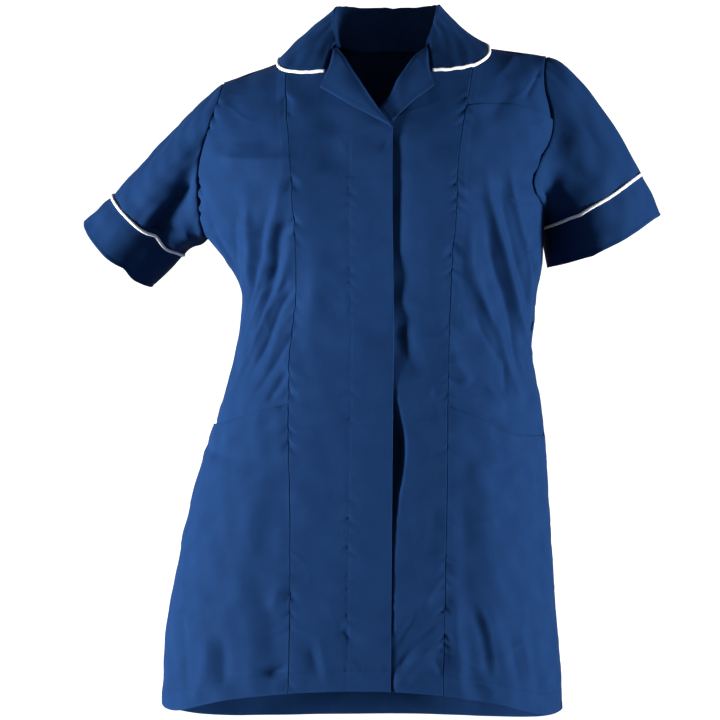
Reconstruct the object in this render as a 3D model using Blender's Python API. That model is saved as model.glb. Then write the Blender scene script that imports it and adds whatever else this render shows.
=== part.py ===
# Medical tunic, worn and filled out with no wearer in it.
# Metres; +X is the wearer's left, -Y the front, +Z up.
# The origin lies midway between the two shoulder neck points.
import math

import bpy
import numpy as np

# Cloth
CLOTH = 0.0012
SEAM_GAP = 0.0003
LAYER = CLOTH + SEAM_GAP
PIPING_RADIUS = 0.0019

# Body form: one row for each level section, from the back hem up to the chest line.
# height, half width to the wearer's right, to the left, depth to the front, to the back
SECTIONS = (
    (-0.765, 0.2460, 0.1920, 0.1430, 0.1320),
    (-0.700, 0.2465, 0.1915, 0.1420, 0.1300),
    (-0.640, 0.2420, 0.1865, 0.1390, 0.1270),
    (-0.580, 0.2310, 0.1825, 0.1350, 0.1230),
    (-0.520, 0.2190, 0.1785, 0.1310, 0.1190),
    (-0.460, 0.2020, 0.1750, 0.1265, 0.1130),
    (-0.400, 0.1830, 0.1700, 0.1205, 0.1020),
    (-0.350, 0.1690, 0.1605, 0.1150, 0.0880),
    (-0.310, 0.1620, 0.1600, 0.1135, 0.0840),
    (-0.270, 0.1620, 0.1660, 0.1165, 0.0880),
    (-0.240, 0.1780, 0.1710, 0.1200, 0.0930),
    (-0.210, 0.2020, 0.1720, 0.1235, 0.0975),
    (-0.180, 0.2160, 0.1770, 0.1255, 0.1000),
    (-0.150, 0.2220, 0.1950, 0.1260, 0.1010),
)
SQUARENESS = 2.25
CHEST = -0.150
# Above the chest line the cloth rolls over onto the shoulder seam.
RISE = 0.185
ROLL_UP = 2.2
ROLL_IN_FRONT = 1.6
ROLL_IN_BACK = 2.4
NECK_HALF = 0.058
NECK_BACK = 0.0605
NECK_RISE_FRONT = 0.035
NECK_RISE_BACK = 0.022
SHOULDER_DROP = {"right": 0.346, "left": 0.158}
SHOULDER_SOFTNESS = 0.012
BUST = {"x": 0.086, "height": -0.185, "spread_x": 0.048, "spread_z": 0.060, "fullness": 0.010}

# Levels are metres up the cloth from the chest line: below zero they are plain heights.
# Rows of a panel run from its hem to the hip pocket's mouth, the underarm, the chest and the shoulder.
UNDERARM = {"right": -0.065, "left": -0.035}
TOP = RISE
HIP_SHARES = tuple(k / 15 for k in range(1, 16))
WAIST_SHARES = tuple(k / 12 for k in range(1, 13))
CHEST_SHARES = (0.05, 0.14, 0.28, 0.46, 0.64, 0.82, 1.0)
SHOULDER_SHARES = (0.17, 0.34, 0.51, 0.67, 0.81, 0.92, 1.0)
ROW_SHARES = (HIP_SHARES, WAIST_SHARES, CHEST_SHARES, SHOULDER_SHARES)
HIP_ROW = len(HIP_SHARES)
UNDERARM_ROW = HIP_ROW + len(WAIST_SHARES)
CHEST_ROW = UNDERARM_ROW + len(CHEST_SHARES)

# Distance of the armhole seam from the centre plane at each level.
# level, on the front, on the back
ARMHOLES = {
    "right": (
        (-0.0604, 0.1992, 0.1992),
        (-0.0520, 0.1995, 0.1993),
        (-0.0400, 0.2000, 0.1990),
        (-0.0120, 0.2000, 0.1970),
        (0.0100, 0.1985, 0.1940),
        (0.0300, 0.1945, 0.1900),
        (0.0550, 0.1880, 0.1855),
        (0.0950, 0.1800, 0.1815),
        (0.1400, 0.1795, 0.1810),
        (0.1850, 0.1818, 0.1818),
    ),
    "left": (
        (-0.0307, 0.1735, 0.1738),
        (-0.0230, 0.1690, 0.1705),
        (-0.0120, 0.1645, 0.1690),
        (0.0080, 0.1715, 0.1700),
        (0.0280, 0.1815, 0.1720),
        (0.0520, 0.1840, 0.1740),
        (0.0900, 0.1765, 0.1745),
        (0.1400, 0.1745, 0.1748),
        (0.1850, 0.1750, 0.1750),
    ),
}
# Distance of the front panel seam from the centre plane: level, right, left
PANEL_SEAMS = (
    (-0.600, 0.0905, 0.0738),
    (-0.450, 0.0888, 0.0757),
    (-0.350, 0.0900, 0.0771),
    (-0.240, 0.0939, 0.0771),
    (-0.185, 0.0929, 0.0774),
    (-0.135, 0.0868, 0.0790),
    (-0.083, 0.0832, 0.0815),
    (-0.040, 0.0838, 0.0845),
    (0.000, 0.0870, 0.0870),
    (0.057, 0.0970, 0.0960),
    (0.120, 0.1035, 0.1010),
    (0.185, 0.1080, 0.1030),
)
# The front edge overlaps by FLY, then breaks at the lapel.
# level, signed distance past the centre on the right front, on the left front
FLY = 0.020
BREAK_LEVEL = 0.027
NECK_EDGE = (
    (0.0270, 0.0198, 0.0198),
    (0.0393, 0.0040, -0.0030),
    (0.0703, -0.0220, -0.0250),
    (0.1000, -0.0365, -0.0375),
    (0.1295, -0.0478, -0.0480),
    (0.1850, -0.0580, -0.0580),
)
BREAK_LIFT = 0.006
BREAK_LIFT_WIDTH = 0.070

# How far the under front sinks behind the fly: height, depth
FLY_HOLLOW = (
    (-0.700, 0.0020), (-0.630, 0.0025), (-0.560, 0.0055), (-0.480, 0.0095),
    (-0.420, 0.0075), (-0.360, 0.0030), (-0.250, 0.0022), (-0.100, 0.0022),
)

# Hem height: round the garment, 0 = wearer's left side, 90 = centre back, 270 = centre front
HEM = (
    (0.0, -0.7300), (30.0, -0.7480), (90.0, -0.7560), (150.0, -0.7520), (180.0, -0.7350),
)
FRONT_HEM = (
    (-180.0, -0.7290), (-150.0, -0.7290), (-125.0, -0.7110), (-90.0, -0.6980),
    (-55.0, -0.7100), (-30.0, -0.7270), (0.0, -0.7290),
)
VENT_TOP = -0.620
VENT_GAP = 0.006

# Folds on the front: start x, start height, end x, end height, half width, depth (troughs are minus)
FRONT_FOLDS = (
    (-0.104, -0.176, -0.144, -0.300, 0.0095, -0.0097),
    (-0.122, -0.165, -0.150, -0.270, 0.0085, 0.0065),
    (-0.092, -0.200, -0.152, -0.372, 0.0100, -0.0091),
    (-0.098, -0.265, -0.150, -0.400, 0.0110, 0.0059),
    (-0.088, -0.255, -0.118, -0.335, 0.0090, -0.0059),
    (-0.094, -0.350, -0.124, -0.405, 0.0090, -0.0059),
    (-0.186, -0.205, -0.160, -0.262, 0.0110, 0.0091),
    (-0.112, -0.500, -0.158, -0.640, 0.0170, -0.0078),
    (-0.132, -0.440, -0.190, -0.660, 0.0180, 0.0078),
    (-0.200, -0.560, -0.226, -0.700, 0.0160, -0.0065),
    (-0.130, -0.640, -0.140, -0.715, 0.0130, 0.0065),
    (-0.068, -0.630, -0.072, -0.705, 0.0110, -0.0065),
    (-0.060, -0.600, -0.026, -0.650, 0.0090, -0.0039),
    (0.118, -0.170, 0.128, -0.300, 0.0100, -0.0097),
    (0.128, -0.270, 0.152, -0.440, 0.0120, -0.0117),
    (0.100, -0.185, 0.122, -0.330, 0.0110, 0.0078),
    (0.134, -0.170, 0.146, -0.300, 0.0085, 0.0065),
    (0.146, -0.190, 0.160, -0.345, 0.0085, -0.0078),
    (0.140, -0.300, 0.160, -0.430, 0.0085, 0.0065),
    (0.022, -0.318, 0.044, -0.372, 0.0110, -0.0065),
    (0.108, -0.440, 0.128, -0.600, 0.0160, 0.0078),
    (0.090, -0.470, 0.100, -0.640, 0.0130, -0.0065),
    (0.026, -0.690, 0.072, -0.630, 0.0085, -0.0059),
    (0.024, -0.660, 0.070, -0.600, 0.0085, 0.0052),
    (0.118, -0.600, 0.148, -0.715, 0.0120, 0.0078),
    (0.100, -0.640, 0.104, -0.715, 0.0110, -0.0078),
    (0.165, -0.630, 0.168, -0.725, 0.0120, -0.0072),
    (0.148, -0.050, 0.120, -0.090, 0.0100, -0.0046),
    (-0.040, -0.085, -0.050, -0.150, 0.0120, -0.0039),
)
BACK_FOLDS = (
    (-0.178, -0.205, -0.120, -0.310, 0.0120, -0.0091),
    (-0.160, -0.160, -0.090, -0.290, 0.0130, 0.0065),
    (0.150, -0.200, 0.100, -0.320, 0.0120, -0.0091),
    (0.136, -0.160, 0.078, -0.300, 0.0120, 0.0065),
    (-0.130, -0.300, -0.052, -0.325, 0.0110, 0.0072),
    (-0.120, -0.345, -0.040, -0.352, 0.0110, -0.0059),
    (0.128, -0.312, 0.040, -0.330, 0.0110, 0.0072),
    (0.120, -0.355, 0.046, -0.348, 0.0110, -0.0059),
    (-0.075, -0.440, -0.120, -0.730, 0.0190, 0.0104),
    (-0.120, -0.470, -0.180, -0.735, 0.0170, -0.0104),
    (-0.030, -0.480, -0.050, -0.745, 0.0170, -0.0091),
    (0.030, -0.500, 0.022, -0.745, 0.0190, 0.0091),
    (0.072, -0.470, 0.092, -0.745, 0.0170, -0.0104),
    (0.120, -0.460, 0.150, -0.735, 0.0170, 0.0091),
)
# Waist darts of the back: x at the waist, ends, depth of the pulled-in line
BACK_DARTS = ((-0.078, -0.200, -0.460, 0.0045), (0.074, -0.200, -0.460, 0.0045))
FOLD_METRES_PER_DEGREE = 0.0026
HALF_GAP_DEGREES = 0.8 * SEAM_GAP / FOLD_METRES_PER_DEGREE

# Hip pocket mouth: distance from the centre plane, height
HIP_MOUTH = {
    "right": ((0.080, -0.3925), (0.132, -0.4055), (0.175, -0.4190), (0.215, -0.4230)),
    "left": ((0.070, -0.3940), (0.115, -0.4130), (0.140, -0.4270), (0.180, -0.4330)),
}
# Chest pocket mouth on the wearer's left: distance from the centre plane, level
CHEST_MOUTH = ((0.094, 0.0535), (0.120, 0.0610), (0.150, 0.0625), (0.172, 0.0590), (0.186, 0.0490))
CHEST_LAP_ROWS = 2

# Lapel outline from the break of the front edge: along, x from centre, height
LAPEL = {
    "right": ((0.00, 0.0190, -0.1055), (0.20, -0.0080, -0.0900), (0.38, -0.0270, -0.0800),
              (0.66, -0.0605, -0.0605), (0.84, -0.0512, -0.0370), (1.00, -0.0490, -0.0150)),
    "left": ((0.00, 0.0195, -0.0985), (0.20, 0.0300, -0.0875), (0.38, 0.0410, -0.0765),
             (0.66, 0.0612, -0.0605), (0.84, 0.0533, -0.0385), (1.00, 0.0490, -0.0180)),
}
LAPEL_STATIONS = (0.00, 0.12, 0.25, 0.38, 0.52, 0.66, 0.75, 0.84, 0.95)
# Levels of the break line under a lapel's lower and upper ends
LAPEL_BREAK = {"right": (0.0300, 0.1280), "left": (0.0415, 0.1280)}
LAPEL_COLUMNS = 5
# Height of a lapel over the front at the break line, on the way out, and at its free edge
LAPEL_RISE = (0.0022, 0.0024, 0.0046)

# Collar, front end to centre back: roll x, y and height, outer edge x on the right, on the left, and y
COLLAR = (
    (0.0496, -0.0490, -0.0040, 0.0570, 0.0575, -0.0800),
    (0.0512, -0.0445, 0.0010, 0.0710, 0.0715, -0.0770),
    (0.0532, -0.0385, 0.0080, 0.0890, 0.0900, -0.0690),
    (0.0552, -0.0310, 0.0160, 0.1045, 0.1055, -0.0570),
    (0.0566, -0.0220, 0.0245, 0.1130, 0.1135, -0.0400),
    (0.0574, -0.0115, 0.0325, 0.1155, 0.1115, -0.0200),
    (0.0574, 0.0010, 0.0385, 0.1140, 0.1040, 0.0030),
    (0.0558, 0.0150, 0.0415, 0.1080, 0.0985, 0.0260),
    (0.0512, 0.0305, 0.0430, 0.0970, 0.0900, 0.0460),
    (0.0445, 0.0430, 0.0438, 0.0810, 0.0765, 0.0615),
    (0.0345, 0.0535, 0.0442, 0.0610, 0.0580, 0.0715),
    (0.0185, 0.0620, 0.0445, 0.0330, 0.0310, 0.0780),
    (0.0000, 0.0650, 0.0445, 0.0000, 0.0000, 0.0800),
)
# How the leaf bows out between the roll and its edge
COLLAR_BELLY = {"right": 0.0015, "left": -0.0015}
STAND_LEVELS = (0.137, 0.146, 0.155, 0.165, 0.175, 0.183)
STAND_ANGLES = (9.0, 22.0, 37.0, 50.0, 62.0, 76.0, 90.0)
COLLAR_CLEARANCE = 0.0040
STAND_SETBACK = 0.0046

# Sleeve ends: outer end of the opening's width, underarm end, half depth, how far it is set back
SLEEVES = {
    "right": {
        "seam": ((-0.3080, -0.1650), (-0.2320, -0.2315), 0.0600, 0.0170),
        "hem": ((-0.3430, -0.1950), (-0.2710, -0.2680), 0.0610, 0.0250),
        "axis": (-0.66, 0.20, -0.72),
        "cap": (-0.80, 0.0, -0.60),
    },
    "left": {
        "seam": ((0.2780, -0.1470), (0.1790, -0.2030), 0.0560, 0.0040),
        "hem": ((0.2985, -0.1920), (0.1905, -0.2470), 0.0570, 0.0120),
        "axis": (0.42, 0.16, -0.89),
        "cap": (0.97, 0.0, -0.22),
    },
}
CAP_TIGHTNESS = 0.38
SLEEVE_ROWS = 8
CUFF_ROWS = 3
CUFF_STAND = 0.0012
# Sleeve folds, in degrees round the sleeve from the underarm by way of the front:
# angle at the armhole, at the cuff, start and end along the sleeve, half width, depth
SLEEVE_FOLDS = {
    "right": (
        (70, 62, 0.30, 1.10, 13, -0.0100),
        (100, 108, 0.10, 0.90, 16, 0.0045),
        (35, 40, 0.20, 1.10, 12, 0.0060),
        (235, 250, 0.15, 1.05, 16, -0.0065),
        (290, 282, 0.20, 1.10, 14, 0.0050),
        (160, 150, 0.25, 0.95, 14, -0.0030),
    ),
    "left": (
        (52, 46, 0.20, 1.10, 13, -0.0090),
        (84, 74, 0.15, 1.05, 15, 0.0050),
        (122, 112, 0.20, 1.00, 15, -0.0040),
        (245, 255, 0.15, 1.05, 16, -0.0065),
        (300, 290, 0.20, 1.10, 14, 0.0050),
    ),
}

NAVY = (0.016, 0.060, 0.165)
WHITE = (0.86, 0.87, 0.88)


# Small number helpers

def blend(table, column, at):
    """The table's column at the given places, on a smooth curve through its rows."""
    rows = np.array(table, float)
    places, values = rows[:, 0], rows[:, column]
    slopes = np.gradient(values, places)
    at = np.clip(at, places[0], places[-1])
    low = np.clip(np.searchsorted(places, at, side="right") - 1, 0, len(places) - 2)
    span = places[low + 1] - places[low]
    t = (at - places[low]) / span
    return ((1 + 2 * t) * (1 - t) ** 2 * values[low] + t * (1 - t) ** 2 * span * slopes[low]
            + t * t * (3 - 2 * t) * values[low + 1] + t * t * (t - 1) * span * slopes[low + 1])


def ease(value):
    """0 below 0, 1 above 1, smooth between."""
    t = np.clip(value, 0.0, 1.0)
    return t * t * (3 - 2 * t)


def unit(vectors):
    vectors = np.asarray(vectors, float)
    return vectors / np.linalg.norm(vectors, axis=-1, keepdims=True)


# The body form

def power(value, exponent):
    return np.sign(value) * np.abs(value) ** exponent


def half_width(x_sign, height):
    return np.where(x_sign >= 0, blend(SECTIONS, 2, height), blend(SECTIONS, 1, height))


def shoulder_height(x, back):
    """Height of the shoulder seam over x, with the rise towards the neck inside it."""
    past = np.abs(x) - NECK_HALF
    soft = (np.sqrt(past ** 2 + SHOULDER_SOFTNESS ** 2) + past) / 2
    drop = np.where(x >= 0, SHOULDER_DROP["left"], SHOULDER_DROP["right"])
    inside = np.clip(1 - (x / NECK_HALF) ** 2, 0, 1)
    rise = np.where(back, NECK_RISE_BACK, NECK_RISE_FRONT)
    return rise * inside ** 2 - drop * (soft - SHOULDER_SOFTNESS * 0.1)


def form(angle, level):
    """Point of the smooth body form: angle in degrees, -90 = centre front, 0 = wearer's left side."""
    angle, level = np.broadcast_arrays(np.asarray(angle, float), np.asarray(level, float))
    turn = np.radians(angle)
    height = CHEST + np.minimum(level, 0.0)
    x = half_width(np.cos(turn), height) * power(np.cos(turn), 2 / SQUARENESS)
    depth = np.where(np.sin(turn) >= 0, blend(SECTIONS, 4, height), blend(SECTIONS, 3, height))
    y = depth * power(np.sin(turn), 2 / SQUARENESS)
    over = np.clip(level / RISE, 0.0, 1.0) * math.pi / 2
    up = np.sin(over) ** (2 / ROLL_UP)
    height = height + (shoulder_height(x, np.sin(turn) > 0) - CHEST) * up
    roll_in = np.where(np.sin(turn) >= 0, ROLL_IN_BACK, ROLL_IN_FRONT)
    y = y * np.maximum(np.cos(over), 0.0) ** (2 / roll_in)
    return np.stack([x, y, height], axis=-1)


def angle_at(x, level, back=False):
    """Angle of the form at this x and level."""
    x = np.asarray(x, float)
    share = np.clip(np.abs(x) / half_width(x, CHEST + np.minimum(level, 0.0)), 0.0, 1.0)
    turn = np.degrees(np.arccos(share ** (SQUARENESS / 2)))
    turn = np.where(x >= 0, turn, 180.0 - turn)
    return turn if back else -turn


def level_at(x, height, back=False):
    """Level on the form at this x and height."""
    up = np.clip((height - CHEST) / (shoulder_height(x, back) - CHEST), 0.0, 1.0)
    over = np.arcsin(up ** (ROLL_UP / 2))
    return np.where(height < CHEST, height - CHEST, over * 2 / math.pi * RISE)


def height_over(x, y):
    """Height of the form's upper part over a point in plan."""
    x = np.asarray(x, float)
    across = (1 - (np.abs(x) / half_width(x, CHEST)) ** SQUARENESS) ** (1 / SQUARENESS)
    depth = np.where(y >= 0, SECTIONS[-1][4], SECTIONS[-1][3]) * across
    share = np.clip(np.abs(y) / depth, 0.0, 1.0)
    roll_in = np.where(y >= 0, ROLL_IN_BACK, ROLL_IN_FRONT)
    return CHEST + (shoulder_height(x, y >= 0) - CHEST) * (1 - share ** roll_in) ** (1 / ROLL_UP)


def neck_edge(side, level):
    """Signed distance of a front's edge past the centre at this level; side is -1 on the right."""
    column = np.where(side < 0, blend(NECK_EDGE, 1, level), blend(NECK_EDGE, 2, level))
    return np.where(level < BREAK_LEVEL, FLY, column)


def fold_depth(points, angle, folds, back):
    """Sum of the soft troughs and ridges at these points of the form."""
    total = np.zeros(points.shape[:-1])
    turned = np.where(angle < -90.0, -1.0, 1.0)
    for start_x, start_z, end_x, end_z, half, depth in folds:
        first = angle_at(start_x, level_at(start_x, start_z), back)
        last = angle_at(end_x, level_at(end_x, end_z), back)
        run = np.array([(last - first) * FOLD_METRES_PER_DEGREE, end_z - start_z])
        length = np.linalg.norm(run)
        off = np.stack([(angle - first) * FOLD_METRES_PER_DEGREE, points[..., 2] - start_z], axis=-1)
        along = off @ run / length ** 2
        aside = (off[..., 0] * run[1] - off[..., 1] * run[0]) / length
        fade = ease((along + 0.12) / 0.35) * ease((1.12 - along) / 0.35)
        total += depth * np.exp(-((aside / half) ** 2)) * fade
    return total * np.abs(turned)


def shape(angle, level):
    """Point of the cloth's outer face: the form with its fullness, folds and darts."""
    angle, level = np.broadcast_arrays(np.asarray(angle, float), np.asarray(level, float))
    base = form(angle, level)
    step_a, step_l = 0.4, 0.0015
    along = form(angle + step_a, level) - form(angle - step_a, level)
    up = form(angle, np.minimum(level + step_l, TOP)) - form(angle, level - step_l)
    out = unit(np.cross(along, up))
    x, height = base[..., 0], base[..., 2]
    front = np.sin(np.radians(angle)) < 0
    near_bust = np.exp(-((np.abs(x) - BUST["x"]) / BUST["spread_x"]) ** 2
                       - ((height - BUST["height"]) / BUST["spread_z"]) ** 2)
    depth = np.where(front, BUST["fullness"] * near_bust + fold_depth(base, angle, FRONT_FOLDS, False), 0.0)
    back = fold_depth(base, angle, BACK_FOLDS, True)
    for dart_x, top, bottom, pull in BACK_DARTS:
        along_dart = ease((height - bottom) / 0.09) * ease((top - height) / 0.09)
        back = back - pull * along_dart * np.exp(-np.abs(x - dart_x) / 0.010)
    depth = np.where(front, depth, back)
    cloth = base + out * depth[..., None]
    past = np.clip(np.abs(x) + neck_edge(np.sign(x), level), 0.0, BREAK_LIFT_WIDTH) / BREAK_LIFT_WIDTH
    lift = BREAK_LIFT * ease((level - 0.045) / 0.06) * ease((TOP - level) / 0.04) * (1 - past) ** 2
    cloth[..., 1] -= np.where(front, lift, 0.0)
    return cloth


def normals(angle, level):
    """Outward direction of the cloth at these places."""
    angle, level = np.broadcast_arrays(np.asarray(angle, float), np.asarray(level, float))
    step_a, step_l = 0.8, 0.002
    along = shape(angle + step_a, level) - shape(angle - step_a, level)
    up = shape(angle, np.minimum(level + step_l, TOP)) - shape(angle, level - step_l)
    out = np.cross(along, up)
    out[..., 1] = np.where(level > TOP - step_l, 0.0, out[..., 1])
    return unit(out)


# Building solids

collection = None


def material(name, colour, roughness):
    made = bpy.data.materials.new(name)
    made.use_nodes = True
    shader = made.node_tree.nodes["Principled BSDF"]
    shader.inputs["Base Color"].default_value = (*colour, 1.0)
    shader.inputs["Roughness"].default_value = roughness
    return made


def wall(name, outer, inner, cloth, round_about=False):
    """A closed wall between two grids of points; round_about joins the last column to the first."""
    rows, columns = outer.shape[:2]
    points = np.concatenate([outer.reshape(-1, 3), inner.reshape(-1, 3)])
    far = rows * columns
    faces = []

    def four(a, b, c, d):
        """Two triangles, always split at the first corner, so that layers on one grid never cross."""
        faces.extend(((a, b, c), (a, c, d)))

    last = columns if round_about else columns - 1
    for r in range(rows - 1):
        for c in range(last):
            a, b = r * columns + c, r * columns + (c + 1) % columns
            d, e = a + columns, b + columns
            four(a, b, e, d)
            faces.extend(((far + a, far + e, far + b), (far + a, far + d, far + e)))
    for c in range(last):
        a, b = c, (c + 1) % columns
        four(b, a, far + a, far + b)
        a, b = a + (rows - 1) * columns, b + (rows - 1) * columns
        four(a, b, far + b, far + a)
    if not round_about:
        for r in range(rows - 1):
            a, d = r * columns, (r + 1) * columns
            four(a, d, far + d, far + a)
            a, d = a + columns - 1, d + columns - 1
            four(d, a, far + a, far + d)
    mesh = bpy.data.meshes.new(name)
    mesh.from_pydata([tuple(p) for p in points], [], faces)
    mesh.shade_smooth()
    mesh.set_sharp_from_angle(angle=math.radians(50))
    mesh.materials.append(cloth)
    made = bpy.data.objects.new(name, mesh)
    collection.objects.link(made)
    return made


def piping(name, points, closed, colour):
    """A round cord of piping along the points."""
    curve = bpy.data.curves.new(name, "CURVE")
    curve.dimensions = "3D"
    curve.bevel_depth = PIPING_RADIUS
    curve.bevel_resolution = 1
    curve.use_fill_caps = not closed
    spline = curve.splines.new("POLY")
    spline.points.add(len(points) - 1)
    for point, place in zip(spline.points, points):
        point.co = (*place, 1.0)
    spline.use_cyclic_u = closed
    curve.materials.append(colour)
    made = bpy.data.objects.new(name, curve)
    collection.objects.link(made)


# Body panels

def name_of(side):
    return "right" if side < 0 else "left"


def vent(level):
    """How far the side edges stand apart, in degrees, below the top of the vent."""
    below = ease((VENT_TOP - CHEST - level) / 0.11)
    return below * VENT_GAP / FOLD_METRES_PER_DEGREE


def side_edge(side, back):
    """Angle of a front or back panel's outer edge at each level: side seam, then armhole."""
    table = ARMHOLES[name_of(side)]
    straight = 0.0 if side > 0 else (180.0 if back else -180.0)
    towards = (1 if back else -1) * side

    def edge(level):
        level = np.asarray(level, float)
        gap = HALF_GAP_DEGREES + vent(level)
        widest = half_width(side, CHEST + np.minimum(level, 0.0))
        x = np.minimum(blend(table, 2 if back else 1, level), widest)
        above = angle_at(side * x, level, back)
        return np.where(level > UNDERARM[name_of(side)] + 1e-6, above, straight + towards * gap)
    return edge


def panel_seam(side, towards):
    """Angle of the front panel seam, half a seam gap towards the given side."""
    def edge(level):
        x = blend(PANEL_SEAMS, 1 if side < 0 else 2, level)
        return angle_at(side * x, level) + towards * HALF_GAP_DEGREES
    return edge


def front_edge(side):
    """Angle of a front's centre edge: the fly overlap, then the break line and the neckline."""
    def edge(level):
        return angle_at(-side * neck_edge(side, np.asarray(level, float)), level)
    return edge


def hip_level(side, x):
    """Level of the hip pocket's mouth at this distance from the centre plane."""
    return blend(HIP_MOUTH[name_of(side)], 1, np.abs(x)) - CHEST


def chest_level(side, x):
    """Level of the row that carries the chest pocket's mouth; on the right it passes the lapel's break."""
    x = np.abs(np.asarray(x, float))
    return blend(CHEST_MOUTH, 1, x) if side > 0 else np.full_like(x, BREAK_LEVEL)


def rows_through(*stops):
    """Levels of all rows, column by column, through the hem, hip, underarm, chest and top."""
    stops = [np.asarray(stop, float) for stop in np.broadcast_arrays(*stops)]
    rows = [stops[0]]
    for low, high, shares in zip(stops, stops[1:], ROW_SHARES):
        rows += [low + (high - low) * share for share in shares]
    return np.array(rows)


def columns_between(first, last, stations, level_rows):
    """Angles of a panel's columns at each row of levels."""
    low, high = first(level_rows), last(level_rows)
    return low + (high - low) * np.asarray(stations)[None, :]


def front_places(first, last, stations, side):
    """Angles and levels of a front panel's grid, from edge to edge."""
    def x_at(level):
        return form(first(level) + (last(level) - first(level)) * stations, level)[..., 0]
    at_hem = first(-0.57) + (last(-0.57) - first(-0.57)) * stations
    hem = blend(FRONT_HEM, 1, at_hem) - CHEST
    hip = hip_level(side, x_at(-0.26))
    chest = chest_level(side, x_at(0.055))
    level_rows = rows_through(hem, hip, UNDERARM[name_of(side)], chest, TOP)
    return columns_between(first, last, stations, level_rows), level_rows


def cloth_walls(angle, level, raised=0.0, thickness=CLOTH):
    """Outer and inner points of a piece lying raised over the cloth's face."""
    out = normals(angle, level)
    raised = np.broadcast_to(np.asarray(raised, float), angle.shape)[..., None]
    outer = shape(angle, level) + out * raised
    seam = np.where(level > TOP - 1e-6, SEAM_GAP / 2, 0.0)
    outer[..., 1] += np.where(np.sin(np.radians(angle)) > 0, seam, -seam)
    return outer, outer - out * thickness


def add_front(side, navy):
    """A centre front with its fly overlap; the wearer's right lies over the left."""
    if side < 0:
        stations = np.array([0, 0.17, 0.34, 0.5, 0.66, 0.8, 0.91, 1.0])
        angle, level = front_places(panel_seam(-1, 1), front_edge(-1), stations, side)
        outer, inner = cloth_walls(angle, level)
    else:
        stations = np.array([0, 0.2, 0.38, 0.46, 0.55, 0.68, 0.84, 1.0])
        angle, level = front_places(front_edge(1), panel_seam(1, -1), stations, side)
        base = form(angle, level)
        hollow = LAYER + 0.0005 + blend(FLY_HOLLOW, 1, base[..., 2])
        sunk = hollow * ease((0.046 - base[..., 0]) / 0.020)
        outer, inner = cloth_walls(angle, level, -sunk)
    wall("front_" + name_of(side), outer, inner, navy)


def add_side_front(side, navy):
    """A side front, and the hip pocket that lies on its lower part, caught in the seams and hem."""
    stations = np.linspace(0.0, 1.0, 11)
    edges = [side_edge(side, False), panel_seam(side, side)]
    first, last = edges if side < 0 else edges[::-1]
    angle, level = front_places(first, last, stations, side)
    top = CHEST_ROW + 1 if side > 0 else len(level)
    outer, inner = cloth_walls(angle[:top], level[:top])
    wall("side_front_" + name_of(side), outer, inner, navy)
    pocket = slice(0, HIP_ROW + 1)
    outer, inner = cloth_walls(angle[pocket], level[pocket], LAYER)
    wall("hip_pocket_" + name_of(side), outer, inner, navy)
    if side > 0:
        behind = slice(CHEST_ROW - CHEST_LAP_ROWS, None)
        above = np.arange(-CHEST_LAP_ROWS, len(level) - CHEST_ROW)[:, None]
        sunk = LAYER * np.clip(1 - above / 2, 0.0, 1.0) * np.ones(len(stations))
        outer, inner = cloth_walls(angle[behind], level[behind], -sunk)
        wall("chest_pocket_back", outer, inner, navy)


def neckline_level(x):
    """Level of the back neckline, an ellipse in plan, over x."""
    y = NECK_BACK * np.sqrt(np.clip(1 - (x / NECK_HALF) ** 2, 0.0, 1.0))
    return level_at(x, height_over(x, y), back=True)


def add_back(navy):
    """The back in one piece, from the left side seam to the right, with columns at the neck points."""
    left, right = side_edge(1, True), side_edge(-1, True)
    neck_x = NECK_HALF * np.cos(np.radians((0, 24, 48, 69, 90, 111, 132, 156, 180)))
    neck_angle = angle_at(neck_x, TOP, back=True)
    span = right(TOP) - left(TOP)
    neck = (neck_angle - left(TOP)) / span
    stations = np.concatenate([np.linspace(0, neck[0], 8)[:-1], neck, np.linspace(neck[-1], 1, 8)[1:]])
    at_hem = left(-0.60) + (right(-0.60) - left(-0.60)) * stations
    top_x = form(left(TOP) + span * stations, TOP)[..., 0]
    top = np.where(np.abs(top_x) < NECK_HALF - 1e-6, neckline_level(top_x), TOP)

    def across(at_left, at_right):
        return at_left + (at_right - at_left) * stations
    level = rows_through(
        blend(HEM, 1, at_hem) - CHEST,
        across(hip_level(1, 1.0), hip_level(-1, 1.0)),
        across(UNDERARM["left"], UNDERARM["right"]),
        across(chest_level(1, 0.184), chest_level(-1, 0.184)),
        top,
    )
    outer, inner = cloth_walls(columns_between(left, right, stations, level), level)
    wall("back", outer, inner, navy)


# Sleeves

def armhole_ring(side):
    """Points of the armhole seam: up the front from the underarm to the tip, then down the back."""
    edge_x = float(blend(ARMHOLES[name_of(side)], 1, 0.055))
    stops = (UNDERARM[name_of(side)], chest_level(side, edge_x), TOP)
    rows = [stops[0]]
    for low, high, shares in zip(stops, stops[1:], (CHEST_SHARES, SHOULDER_SHARES)):
        rows += [low + (high - low) * share for share in shares]
    rows = np.array(rows, float)
    front_angle = side_edge(side, False)(rows)
    front_angle[0] = 0.0 if side > 0 else -180.0
    back_angle = side_edge(side, True)(rows)
    angle = np.concatenate([front_angle, back_angle[-2:0:-1]])
    level = np.concatenate([rows, rows[-2:0:-1]])
    return shape(angle, level) + normals(angle, level) * SEAM_GAP


def end_ring(end, angles):
    """Points of the oval at a sleeve's end; angle 0 is the underarm, 90 the front."""
    (outer_x, outer_z), (under_x, under_z), depth, back = end
    high = ((1 - np.cos(angles)) / 2)[:, None]
    outer, under = np.array([outer_x, back, outer_z]), np.array([under_x, back, under_z])
    return under + (outer - under) * high + np.sin(angles)[:, None] * np.array([0.0, -depth, 0.0])


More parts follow.
